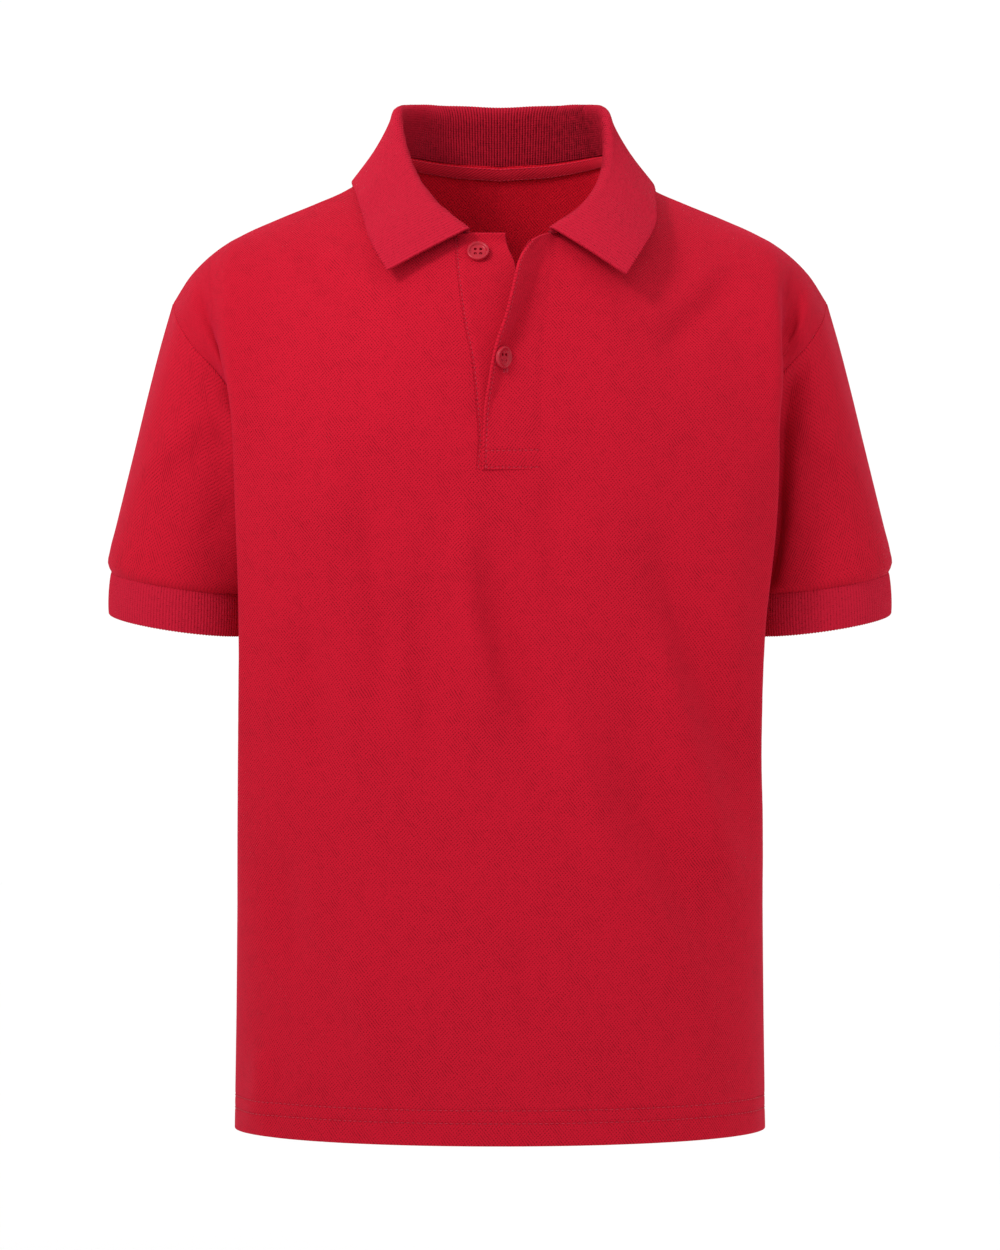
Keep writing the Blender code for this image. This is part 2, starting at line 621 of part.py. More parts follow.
def make_button(name, seat, normal):
    """A four-hole button with a raised rim, its back on the seat."""
    rim, well, thick = BUTTON["rim"], BUTTON["well"], BUTTON["thick"]
    radius = BUTTON["radius"]
    profile = [(0, thick - well), (radius - rim * 2, thick - well), (radius - rim, thick),
               (radius - rim / 2, thick), (radius, thick * 0.6), (radius * 0.94, thick * 0.2),
               (radius * 0.8, 0), (0, 0)]
    mesh = bmesh.new()
    line = [mesh.verts.new((x, 0, z)) for x, z in profile]
    edges = [mesh.edges.new(pair) for pair in zip(line, line[1:])]
    bmesh.ops.spin(mesh, geom=line + edges, axis=(0, 0, 1), cent=(0, 0, 0), steps=24,
                   angle=2 * math.pi, use_duplicate=False)
    bmesh.ops.remove_doubles(mesh, verts=mesh.verts, dist=1e-5)
    bmesh.ops.recalc_face_normals(mesh, faces=mesh.faces)
    data = bpy.data.meshes.new(name)
    mesh.to_mesh(data)
    mesh.free()
    button = bpy.data.objects.new(name, data)
    bpy.context.scene.collection.objects.link(button)
    place = Vector(normal).to_track_quat("Z", "Y").to_matrix().to_4x4()
    button.matrix_world = Matrix.Translation(Vector(seat)) @ place
    for turn in range(4):
        cutter = bmesh.new()
        angle = math.pi / 4 + turn * math.pi / 2
        where = Matrix.Translation((math.cos(angle) * BUTTON["spread"] * math.sqrt(2),
                                    math.sin(angle) * BUTTON["spread"] * math.sqrt(2), thick / 2))
        bmesh.ops.create_cone(cutter, cap_ends=True, segments=10, radius1=BUTTON["hole"],
                              radius2=BUTTON["hole"], depth=thick * 3, matrix=where)
        drill_data = bpy.data.meshes.new(f"{name}_drill_{turn}")
        cutter.to_mesh(drill_data)
        cutter.free()
        drill = bpy.data.objects.new(drill_data.name, drill_data)
        bpy.context.scene.collection.objects.link(drill)
        drill.matrix_world = button.matrix_world
        drill.hide_render = True
        drill.display_type = "WIRE"
        hole = button.modifiers.new(f"hole {turn}", "BOOLEAN")
        hole.operation = "DIFFERENCE"
        hole.object = drill
    button.data.materials.append(material(name, BUTTON_RED))
    return button


def make_buttons():
    """The top button on the under half, and the fastened one through the upper half."""
    x, z = BUTTON_TOP["x"], BUTTON_TOP["z"]
    share = (x - seam_x(UNDER_SEAM, z)) / UNDER_WIDTH
    middle = front_point(x, z, -LAP * share)
    normal = front_point(x, z, 1.0) - front_point(x, z, 0.0)
    make_button("button_top", middle + normal * (PLACKET / 2 + SEAM_GAP * 2), normal)
    height = (BUTTON_LOW["z"] - PLACKET_FOOT) / (OVER_EDGE[-1][0] - PLACKET_FOOT)
    step = 0.02
    place = BUTTON_LOW["across"]
    across = over_point(place + step, height) - over_point(place - step, height)
    up = over_point(place, height + step) - over_point(place, height - step)
    normal = np.cross(up, across)
    normal /= np.linalg.norm(normal)
    normal *= -np.sign(normal[1])
    seat = over_point(place, height) + normal * (PLACKET / 2 + SEAM_GAP * 3)
    make_button("button_low", seat, normal)


def clear_scene():
    for thing in list(bpy.data.objects):
        bpy.data.objects.remove(thing, do_unlink=True)


def main():
    clear_scene()
    make_front()
    make_back()
    make_sleeve("sleeve_right", -1)
    make_sleeve("sleeve_left", 1)
    make_cuff("cuff_right", -1)
    make_cuff("cuff_left", 1)
    make_collar()
    make_placket_under()
    make_placket_over()
    make_tape()
    make_buttons()


main()
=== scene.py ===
import math

import bpy
import numpy as np
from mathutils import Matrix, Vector
from mathutils.bvhtree import BVHTree


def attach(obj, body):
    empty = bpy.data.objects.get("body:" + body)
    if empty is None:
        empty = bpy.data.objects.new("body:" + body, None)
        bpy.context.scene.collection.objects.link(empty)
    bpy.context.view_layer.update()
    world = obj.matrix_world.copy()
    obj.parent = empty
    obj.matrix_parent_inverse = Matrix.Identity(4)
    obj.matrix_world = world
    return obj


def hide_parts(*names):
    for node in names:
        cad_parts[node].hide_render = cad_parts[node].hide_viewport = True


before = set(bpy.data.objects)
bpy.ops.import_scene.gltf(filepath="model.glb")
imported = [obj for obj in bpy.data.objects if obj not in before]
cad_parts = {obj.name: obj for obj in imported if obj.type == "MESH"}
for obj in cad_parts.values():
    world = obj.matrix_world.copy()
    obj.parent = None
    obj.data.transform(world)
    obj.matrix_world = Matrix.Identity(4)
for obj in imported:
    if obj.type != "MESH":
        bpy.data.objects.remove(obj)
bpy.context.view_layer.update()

# The shirt is hollow and filled out as worn. Metres, +Z up, its front faces -Y, its left is +X.


# Curves and small sums

def smoothStep(t):
    t = np.clip(t, 0, 1)
    return t * t * (3 - 2 * t)


def smoothThrough(knots, values, at):
    # a smooth curve through values at knots, read at the places in at
    knots, values = np.asarray(knots, float), np.asarray(values, float)
    at = np.clip(np.asarray(at, float), knots[0], knots[-1])
    slopes = np.gradient(values, knots, axis=0)
    i = np.clip(np.searchsorted(knots, at, side="right") - 1, 0, len(knots) - 2)
    step = knots[i + 1] - knots[i]
    t = (at - knots[i]) / step
    if values.ndim > 1:
        step, t = step[..., None], t[..., None]
    return (
        (1 + 2 * t) * (1 - t) ** 2 * values[i]
        + t * (1 - t) ** 2 * step * slopes[i]
        + t * t * (3 - 2 * t) * values[i + 1]
        + t * t * (t - 1) * step * slopes[i + 1]
    )


def runs(points, axis=0):
    # how far along its line each point lies
    steps = np.linalg.norm(np.diff(points, axis=axis), axis=-1)
    return np.cumsum(np.insert(steps, 0, 0, axis=axis), axis=axis)


def arcShares(points):
    along = runs(points)
    return along / along[-1]


def readLine(at, known, points):
    # the points of a line at the places in at; known is the place of each point
    return np.stack([np.interp(at, known, points[:, k]) for k in range(3)], axis=-1)


def alongLine(points, shares):
    return readLine(shares, arcShares(points), points)


def alongEdge(rows, shares):
    rows = np.asarray(rows, float)
    fine = smoothThrough(arcShares(rows), rows, np.linspace(0, 1, 161))
    return alongLine(fine, shares)


def nearest(values, wanted):
    return int(np.argmin(abs(values - wanted)))


def unit(vectors):
    return vectors / np.maximum(np.linalg.norm(vectors, axis=-1, keepdims=True), 1e-12)


def gridNormals(grid, toward):
    # unit normals of a grid of points, all on the side that mostly agrees with toward
    normal = unit(np.cross(np.gradient(grid, axis=1), np.gradient(grid, axis=0)))
    return normal * np.sign((normal * toward).sum())


def clothPlace(grid):
    # how far across and along the cloth each point lies, in metres, from the middle column
    across, along = runs(grid, 1), runs(grid).mean(axis=1, keepdims=True)
    across -= across[:, [grid.shape[1] // 2]]
    return np.stack([across, np.broadcast_to(along, across.shape)], axis=-1)


def panelPlace(grid, level):
    # the same for a whole panel, whose grain stays upright: level is the row at the underarm
    place = clothPlace(grid)
    place[level + 1:, :, 0] = place[level, :, 0] + grid[level + 1:, :, 0] - grid[level, :, 0]
    place[..., 1] = runs(grid[..., 1:])
    return place


# Finishes

def linear(hexText):
    shares = [int(hexText[i:i + 2], 16) / 255 for i in (1, 3, 5)]
    return tuple(s / 12.92 if s <= 0.04045 else ((s + 0.055) / 1.055) ** 2.4 for s in shares) + (1,)


def addNode(tree, kind, inputs=None, **settings):
    made = tree.nodes.new("ShaderNode" + kind)
    for name, value in settings.items():
        setattr(made, name, value)
    for socket, value in (inputs or {}).items():
        if isinstance(value, bpy.types.NodeSocket):
            tree.links.new(value, made.inputs[socket])
        else:
            made.inputs[socket].default_value = value
    return made


def newMaterial(name, roughness, specular, sheen=(0.0, 0.5, "#FFFFFF")):
    # sheen is its weight, roughness and tint
    made = bpy.data.materials.new(name)
    made.use_nodes = True
    shader = made.node_tree.nodes["Principled BSDF"]
    values = {"Roughness": roughness, "Specular IOR Level": specular, "Sheen Weight": sheen[0],
              "Sheen Roughness": sheen[1], "Sheen Tint": linear(sheen[2])}
    for socket, value in values.items():
        shader.inputs[socket].default_value = value
    return made, made.node_tree, shader


waveTurn = 0.31416  # a wave texture of scale 1 repeats every 0.314 m


def bands(tree, place, pitch, turn):
    # even bands across the cloth, pitch metres apart and turned by turn degrees
    turned = addNode(tree, "Mapping", {"Vector": place, "Rotation": (0, 0, math.radians(turn))})
    wave = addNode(tree, "TexWave", {"Vector": turned.outputs["Vector"], "Scale": waveTurn / pitch,
                                     "Distortion": 0.0})
    return wave.outputs["Fac"]


def knitMaterial(name, knit):
    made, tree, shader = newMaterial(name, knit["roughness"], knit["specular"], knit["sheen"])
    flat = addNode(tree, "UVMap", uv_map="cloth").outputs["UV"]
    uneven, patch, fibre, cloud = (
        addNode(tree, "TexNoise", {"Vector": flat, "Scale": 1 / knit[size], "Detail": detail}).outputs
        for size, detail in (("unevenSize", 1.0), ("patch", 2.0), ("fibre", 2.0), ("cloud", 3.0)))
    place = addNode(tree, "VectorMath", {0: uneven["Color"], 1: (knit["uneven"],) * 3, 2: flat},
                    operation="MULTIPLY_ADD").outputs["Vector"]
    first = bands(tree, place, knit["pitch"], knit["turns"][0])
    second = bands(tree, place, knit["crossPitch"], knit["turns"][1])
    low, high = knit["shares"]
    share = addNode(tree, "MapRange", {"Value": patch["Fac"], "From Min": 0.35, "From Max": 0.65,
                                       "To Min": low, "To Max": high})
    loops = addNode(tree, "Mix", {"Factor": share.outputs["Result"], "A": second, "B": first})
    height = addNode(tree, "Math", {0: fibre["Fac"], 1: knit["fuzz"], 2: loops.outputs["Result"]},
                     operation="MULTIPLY_ADD").outputs[0]
    tone = addNode(tree, "Math", {0: cloud["Fac"], 1: knit["cloudShare"], 2: height},
                   operation="MULTIPLY_ADD")
    shade = addNode(tree, "ValToRGB", {"Fac": tone.outputs[0]})
    deep, light = shade.color_ramp.elements
    deep.position, deep.color = knit["toneFrom"], linear(knit["deep"])
    light.position, light.color = knit["toneTo"], linear(knit["light"])
    bump = addNode(tree, "Bump", {"Height": height, "Distance": knit["depth"], "Strength": knit["strength"]})
    colour, tint = shade.outputs["Color"], knit.get("paintedNeckLight")
    if "paintedGrooveShade" in knit:
        # painted shade on the collar's stand: the tint is darker in the rib grooves than on the ridges
        groove = addNode(tree, "ValToRGB", {"Fac": first})
        for element, hexText in zip(groove.color_ramp.elements, knit["paintedGrooveShade"]):
            element.color = linear(hexText)
        tint = groove.outputs["Color"]
    if tint is not None:
        # painted light and shade: the tint multiplies the colour where the mesh says that it is inside the
        # neck, brightening the back's inner face and darkening the collar's stand
        paintedLightShadeMask = addNode(tree, "Attribute", attribute_name="inside")
        colour = addNode(tree, "Mix", {0: paintedLightShadeMask.outputs["Fac"], 6: colour, 7: tint},
                         data_type="RGBA", blend_type="MULTIPLY").outputs[2]
    tree.links.new(colour, shader.inputs["Base Color"])
    tree.links.new(bump.outputs["Normal"], shader.inputs["Normal"])
    return made


# Cotton and polyester pique, piece-dyed red: loops in a diagonal lattice, uneven as knit is, matt,
# with a little fuzz. The real loops are 1.1 mm apart, too fine for the render, so they are drawn
# 1.4 mm apart. The neck gain is painted light: it brightens the colour of the back's inner face near
# the neck, standing in for the light thrown about inside the neck.
pique = {
    "pitch": 0.00138, "crossPitch": 0.00145, "turns": (-38, 45), "shares": (0.35, 0.90), "patch": 0.008,
    "uneven": 0.0009, "unevenSize": 0.004, "fibre": 0.0011, "fuzz": 0.85, "cloud": 0.045,
    "cloudShare": 0.25, "toneFrom": 0.50, "toneTo": 1.48, "deep": "#7A0817", "light": "#B91229",
    "paintedNeckLight": (1.60, 1.15, 1.10, 1), "depth": 0.00030, "strength": 0.5,
    "roughness": 0.9, "specular": 0.08, "sheen": (0.18, 0.38, "#FF3F78"),
}

# Flat-knit rib of the collar and cuffs: upright ribs in the mesh, fine courses across them. On the
# inside of the collar's stand, where the ribs are packed close, the colour is darkened as painted
# shade, most in the grooves.
rib = {
    "pitch": 0.0018, "crossPitch": 0.0011, "turns": (0, 90), "shares": (0.35, 0.80), "patch": 0.006,
    "uneven": 0.0006, "unevenSize": 0.003, "fibre": 0.0011, "fuzz": 1.2, "cloud": 0.050,
    "cloudShare": 0.25, "toneFrom": 0.55, "toneTo": 1.50, "deep": "#620512", "light": "#B4172F",
    "paintedGrooveShade": ("#807274", "#F0E2E4"), "depth": 0.00034, "strength": 0.8,
    "roughness": 0.9, "specular": 0.08, "sheen": (0.08, 0.45, "#FF5078"),
}

# Woven twill tape: steep diagonal wales, flatter and a little smoother than the knit
twill = {
    "pitch": 0.0014, "crossPitch": 0.0007, "turns": (-55, 0), "shares": (0.7, 0.9), "patch": 0.02,
    "uneven": 0.0003, "unevenSize": 0.003, "fibre": 0.0007, "fuzz": 0.4, "cloud": 0.03,
    "cloudShare": 0.15, "toneFrom": 0.1, "toneTo": 1.3, "deep": "#A60C1C", "light": "#DE1B36",
    "depth": 0.00022, "strength": 0.6, "roughness": 0.85, "specular": 0.15,
    "sheen": (0.03, 0.5, "#FF5A74"),
}

# Fine scratches that tumbling leaves on a button, in metres
scratch = {"size": 0.0008, "depth": 0.00003}


def speckled(name, roughness, specular, grain, deep, light, worn=None):
    # a plain dyed finish with a fine grain of its own; worn is how smooth and rough its wear makes it
    made, tree, shader = newMaterial(name, roughness, specular)
    place = addNode(tree, "TexCoord").outputs["Object"]
    cloud = addNode(tree, "TexNoise", {"Vector": place, "Scale": 1 / grain, "Detail": 3.0})
    shade = addNode(tree, "ValToRGB", {"Fac": cloud.outputs["Fac"]})
    low, high = shade.color_ramp.elements
    low.position, low.color = 0.3, linear(deep)
    high.position, high.color = 0.7, linear(light)
    tree.links.new(shade.outputs["Color"], shader.inputs["Base Color"])
    if worn:
        mark = addNode(tree, "TexNoise", {"Vector": place, "Scale": 1 / scratch["size"],
                                          "Detail": 4.0}).outputs["Fac"]
        rough = addNode(tree, "MapRange", {"Value": mark, "To Min": worn[0], "To Max": worn[1]})
        bump = addNode(tree, "Bump", {"Height": mark, "Distance": scratch["depth"], "Strength": 0.3})
        tree.links.new(rough.outputs["Result"], shader.inputs["Roughness"])
        tree.links.new(bump.outputs["Normal"], shader.inputs["Normal"])
    return made


piqueKnit = knitMaterial("cotton_pique_knit", pique)
ribKnit = knitMaterial("flat_knit_rib", rib)
twillTape = knitMaterial("woven_twill_tape", twill)
# Spun polyester sewing thread, dyed to match, a little glossier than the knit
polyesterThread = speckled("spun_polyester_thread", 0.6, 0.25, 0.0006, "#A20E26", "#C42640")
# Cast polyester buttons, tumbled to a satin and dyed right through
satinButton = speckled("satin_polyester_button", 0.30, 0.24, 0.006, "#9A1024", "#B41A2E", (0.24, 0.38))
print("finishes made")


# Making and finishing a piece

def startClean(piece=None):
    # nothing selected, or only the piece
    if bpy.context.object and bpy.context.object.mode != "OBJECT":
        bpy.ops.object.mode_set(mode="OBJECT")
    bpy.ops.object.select_all(action="DESELECT")
    if piece:
        piece.select_set(True)
        bpy.context.view_layer.objects.active = piece


def selectFaces(piece, wanted):
    # leaves the piece in edit mode
    bpy.ops.object.mode_set(mode="EDIT")
    bpy.ops.mesh.select_mode(type="FACE")
    bpy.ops.mesh.select_all(action="DESELECT")
    bpy.ops.object.mode_set(mode="OBJECT")
    piece.data.polygons.foreach_set("select", wanted)
    bpy.ops.object.mode_set(mode="EDIT")


def turnFacesOut(merge=None):
    bpy.ops.object.mode_set(mode="EDIT")
    bpy.ops.mesh.select_all(action="SELECT")
    if merge:
        bpy.ops.mesh.remove_doubles(threshold=merge)
    bpy.ops.mesh.normals_make_consistent(inside=False)
    bpy.ops.object.mode_set(mode="OBJECT")


def roundEdges(piece, width, segments, sharper):
    # only those that turn by more than sharper degrees
    bevel = piece.modifiers.new("rounded edge", "BEVEL")
    bevel.width, bevel.segments, bevel.limit_method = width, segments, "ANGLE"
    bevel.angle_limit = math.radians(sharper)


def applyAll(piece):
    for modifier in list(piece.modifiers):
        bpy.ops.object.modifier_apply(modifier=modifier.name)


def finishPiece(piece, finish, smoothTo):
    applyAll(piece)
    bpy.ops.object.shade_smooth_by_angle(angle=math.radians(smoothTo))
    piece.data.materials.clear()
    piece.data.materials.append(finish)


def setInside(mesh, values):
    made = mesh.attributes.new("inside", "FLOAT", "POINT")
    made.data.foreach_set("value", values.astype(np.float32).ravel())


def clothPiece(name, grid, place, wall, finish, keep=None, around=False, edgeRound=0.0, thick=None,
               inside=None):
    # a grid primitive laid over the piece's own points, then given its wall; thick is the share of
    # the wall that each point has, and inside marks where the finish paints light on the back and shade on
    # the collar
    startClean()
    rows, columns = grid.shape[:2]
    bpy.ops.mesh.primitive_grid_add(x_subdivisions=columns - 1, y_subdivisions=rows - 1, size=1)
    piece = bpy.context.object
    mesh = piece.data
    piece.name = mesh.name = name
    mesh.vertices.foreach_set("co", grid.astype(np.float32).ravel())
    corners = np.empty(len(mesh.loops), np.int32)
    mesh.loops.foreach_get("vertex_index", corners)
    mesh.uv_layers[0].data.foreach_set("uv", place.reshape(-1, 2)[corners].astype(np.float32).ravel())
    mesh.uv_layers[0].name = "cloth"
    solid = piece.modifiers.new("wall", "SOLIDIFY")
    solid.thickness, solid.offset = wall, 0
    if thick is not None:
        group = piece.vertex_groups.new(name="wall")
        for index, share in enumerate(thick.ravel()):
            group.add([index], float(share), "REPLACE")
        solid.vertex_group = "wall"
    if inside is not None:
        setInside(mesh, inside)
    if keep is not None:
        selectFaces(piece, ~keep.ravel())
        bpy.ops.mesh.delete(type="FACE")
    turnFacesOut(merge=1e-6 if around else None)
    if edgeRound:
        roundEdges(piece, edgeRound, 2, 60)
    finishPiece(piece, finish, 55)
    return piece


def settle(piece, slot, *nodes):
    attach(piece, "root")
    if nodes:
        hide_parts(*nodes)
    return piece


# A seam's two edges roll in and press together, and their allowances stand inside the shirt. Where
# an edge isn't rolled, the added rows lie flatStep apart.
seam = {"radius": 0.0003, "gap": -0.00002, "allowance": (0.0012, 0.0042), "rolls": (30, 60, 90),
        "flatStep": 0.0001}


def rollIn(grid, edge, inward, wall, amount=1.0):
    # pulls an edge back and rolls it inward; amount is how much of that each point does
    if edge in ("first", "last"):
        edge = "bottom" if edge == "first" else "top"
        return rollIn(grid.swapaxes(0, 1), edge, inward, wall, amount).swapaxes(0, 1)
    line, inner = (grid[0], grid[1]) if edge == "bottom" else (grid[-1], grid[-2])
    amount = (np.ones(len(line)) * amount)[:, None]
    radius = seam["radius"]
    out = unit(line - inner)
    inward = unit(inward - out * (inward * out).sum(axis=1, keepdims=True))
    base = line - out * (radius + wall / 2 + seam["gap"]) * amount
    steps = [(radius * math.sin(angle), radius * (1 - math.cos(angle)))
             for angle in np.radians(seam["rolls"])]
    steps += [(radius, radius + depth) for depth in seam["allowance"]]
    added = [base]
    for k, (ahead, under) in enumerate(steps):
        rolled = out * ahead + inward * under
        added.append(base + rolled * amount + out * seam["flatStep"] * (k + 1) * (1 - amount))
    if edge == "bottom":
        return np.concatenate([np.array(added[::-1]), grid[1:]])
    return np.concatenate([grid[:-1], np.array(added)])


# The body's form

torso = {
    "levels": [
        # z, half widths right, left and at the side seam, depths front and back, squareness, fold
        (-0.5425, 0.1522, 0.1522, 0.1520, 0.0970, 0.0920, 2.05, 0.92),
        (-0.4700, 0.1508, 0.1508, 0.1502, 0.0985, 0.0930, 2.12, 0.87),
        (-0.4050, 0.1497, 0.1497, 0.1480, 0.0992, 0.0935, 2.20, 0.79),
        (-0.3500, 0.1485, 0.1487, 0.1446, 0.1002, 0.0937, 2.28, 0.72),
        (-0.3000, 0.1475, 0.1479, 0.1408, 0.1015, 0.0940, 2.38, 0.67),
        (-0.2550, 0.1470, 0.1488, 0.1378, 0.1028, 0.0945, 2.46, 0.65),
        (-0.2150, 0.1477, 0.1535, 0.1362, 0.1036, 0.0950, 2.54, 0.64),
        (-0.1800, 0.1492, 0.1572, 0.1350, 0.1040, 0.0950, 2.60, 0.64),
    ],
    "levelNames": ("right", "left", "side", "front", "back", "square", "fold"),
    "sideSeamY": 0.004, "hollowWidth": 0.20, "armholeMiddle": (0.158, -0.120),
    "frontNeck": [(0.0000, -0.0690, -0.0370), (0.0230, -0.0665, -0.0345), (0.0430, -0.0560, -0.0240),
                  (0.0575, -0.0330, -0.0045), (0.0635, 0.0040, 0.0180)],
    "backNeck": [(0.0000, 0.0555, 0.0165), (0.0300, 0.0500, 0.0180), (0.0545, 0.0320, 0.0200),
                 (0.0635, 0.0040, 0.0180)],
    "shoulder": [(0.0635, 0.0040, 0.0180), (0.0760, 0.0040, 0.0065), (0.0890, 0.0040, -0.0020),
                 (0.1060, 0.0040, -0.0095), (0.1290, 0.0040, -0.0190), (0.1480, 0.0040, -0.0277),
                 (0.1640, 0.0040, -0.0378), (0.1770, 0.0040, -0.0500), (0.1885, 0.0040, -0.0670)],
    "neckShare": 0.36, "foldShare": 0.735,
    "shoulderReach": [(0.36, 0.000), (0.55, 0.430), (0.735, 0.755), (1.00, 1.000)],
    "roofPower": 2.2, "neckRoof": 0.88, "fullRoofShare": 0.68,
    # rise, right, left: how far out the fold beside the arm stands
    "armFold": [(0.00, 0.0000, 0.0000), (0.25, 0.0000, 0.0010), (0.40, 0.0008, 0.0030),
                (0.55, 0.0026, 0.0046), (0.72, 0.0026, 0.0045), (0.86, 0.0020, 0.0035),
                (1.00, 0.0000, 0.0000)],
    # rise, share of the way out, bow to the front and to the back of the armhole seam
    "armhole": [(0.00, 0.000, 0.000, 0.000), (0.05, 0.006, 0.016, 0.015), (0.13, 0.020, 0.029, 0.027),
                (0.26, 0.065, 0.041, 0.038), (0.43, 0.190, 0.048, 0.045), (0.61, 0.440, 0.049, 0.046),
                (0.78, 0.770, 0.041, 0.039), (0.90, 0.925, 0.026, 0.025), (1.00, 1.000, 0.000, 0.000)],
    "foldBow": 0.010, "foldValley": 0.0035, "besideFrom": 0.55, "valleyPast": 0.07, "valleyWidth": 0.04,
    "wall": 0.0010, "neckColumns": 34, "outerColumns": 58, "rowPitch": 0.0034, "upperRows": 84,
    "kinkRows": 9, "kinkPasses": 60,
}


def levelAt(z):
    heights = [row[0] for row in torso["levels"]]
    sizes = [row[1:] for row in torso["levels"]]
    return dict(zip(torso["levelNames"], smoothThrough(heights, sizes, z)))


def halfSection(z, side, face, shares):
    # across half a panel at one height, from its centre to the side seam
    level = levelAt(z)
    width = level["left"] if side > 0 else level["right"]
    seamY = torso["sideSeamY"]
    reach = level["front"] + seamY if face < 0 else level["back"] - seamY
    angle = np.linspace(0, math.pi / 2, 121)
    x = np.sin(angle) ** (2 / level["square"])
    y = np.cos(angle) ** (2 / level["square"]) * reach
    share = arcShares(np.stack([x * width, y, 0 * x], axis=1))
    press = smoothStep((share - level["fold"]) / min(torso["hollowWidth"], 1 - level["fold"]))
    full = width
    for _ in range(12):
        full += width - (x * full - press * (full - level["side"])).max()
    x = x * full - press * (full - level["side"])
    return side * np.interp(shares, share, x), seamY + face * np.interp(shares, share, y)


def topEdge(side, face, shares):
    rows = torso["frontNeck"] if face < 0 else torso["backNeck"]
    neck = alongEdge(rows, np.clip(shares / torso["neckShare"], 0, 1))
    known, reach = np.array(torso["shoulderReach"]).T
    shoulder = alongEdge(torso["shoulder"], smoothThrough(known, reach, shares))
    edge = np.where((shares < torso["neckShare"])[:, None], neck, shoulder)
    return edge * np.array([side, 1, 1])


def roofTurn(rise):
    power = torso["roofPower"]
    return 1 - (1 - np.clip(rise, 0, 1) ** power) ** (1 / power)


def halfForm(side, face, shares, heights, upper):
    # half a panel: rows at the heights below the arm, then rows up to the shoulder
    shares = np.asarray(shares, float)
    foldShare, neckShare = torso["foldShare"], torso["neckShare"]
    rows = []
    for z in heights:
        x, y = halfSection(z, side, face, shares)
        rows.append(np.stack([x, y, np.full_like(x, z)], axis=1))
    start, end = rows[-1], topEdge(side, face, shares)
    arm = np.clip((shares - foldShare) / (1 - foldShare), 0, 1)
    beside = smoothStep((shares - torso["besideFrom"]) / (foldShare - torso["besideFrom"])) - arm
    turn = torso["neckRoof"] + (1 - torso["neckRoof"]) * smoothStep(
        (shares - neckShare) / (torso["fullRoofShare"] - neckShare))
    fold = np.array(torso["armFold"])
    foldRise, foldOut = fold[:, 0], fold[:, 2 if side > 0 else 1]
    risen, table = np.array(torso["armhole"])[:, 0], np.array(torso["armhole"])[:, 1:]
    dip = np.exp(-(((shares - foldShare - torso["valleyPast"]) / torso["valleyWidth"]) ** 2))
    dense = []
    for rise in (1 - np.cos(np.linspace(0, math.pi, 121))) / 2:
        out, *bows = smoothThrough(risen, table, rise)
        x = start[:, 0] + (end[:, 0] - start[:, 0]) * (rise * (1 - arm) + out * arm)
        x += side * beside * smoothThrough(foldRise, foldOut, rise)
        over = roofTurn(rise * turn) / roofTurn(turn)
        y = start[:, 1] + (end[:, 1] - start[:, 1]) * over
        y += face * arm * bows[0 if face < 0 else 1]
        y += face * beside * torso["foldBow"] * math.sin(math.pi * rise)
        y -= (face * dip * torso["foldValley"] * smoothStep((rise - 0.35) / 0.3)
              * smoothStep((0.97 - rise) / 0.2))
        z = start[:, 2] + (end[:, 2] - start[:, 2]) * rise
        dense.append(np.stack([x, y, z], axis=1))
    dense = np.array(dense)
    steps = np.linspace(0, 1, upper + 1)[1:]
    columns = [alongLine(dense[:, k], steps) for k in range(len(shares))]
    return np.concatenate([np.array(rows), np.stack(columns, axis=1)])

# Hem: turned up once, two rows of stitches. The steps are the heights of its rows of points.
hem = {"z": -0.5425, "rows": (0.0128, 0.0200), "radius": 0.0008,
       "innerSteps": (0.0235, 0.0200, 0.0160, 0.0128, 0.0085, 0.0040, 0.0016),
       "groove": 0.00045, "grooveWidth": 0.0009, "pucker": 0.00016, "puckerUp": 0.013, "puckerSpread": 0.011,
       "steps": (0.0013, 0.0026, 0.0045, 0.0075, 0.0102, 0.0114, 0.0121, 0.0128, 0.0135, 0.0142, 0.0154,
                 0.0174, 0.0186, 0.0193, 0.0200, 0.0207, 0.0214, 0.0226, 0.0250, 0.0280)}

underarmZ = torso["levels"][-1][0]
hemTop = hem["z"] + hem["steps"][-1]
lowerRows = int(round((underarmZ - hemTop) / torso["rowPitch"]))
panelHeights = np.concatenate([hem["z"] + np.array(hem["steps"]),
                               np.linspace(hemTop, underarmZ, lowerRows + 1)[1:]])
panelShares = np.concatenate([
    np.linspace(0, torso["neckShare"], torso["neckColumns"]),
    np.linspace(torso["neckShare"], 1, torso["outerColumns"])[1:],
])


def easeKink(half):
    # rounds the line where the straight sides turn into the shoulder
    middle = len(panelHeights) - 1
    near = np.exp(-(((np.arange(len(half)) - middle) / torso["kinkRows"]) ** 2))
    weight = near[1:-1, None, None] * (1 - smoothStep((panelShares - 0.80) / 0.15))[None, :, None]
    for _ in range(torso["kinkPasses"]):
        half[1:-1] += weight * ((half[2:] + half[:-2]) / 2 - half[1:-1])
    return half

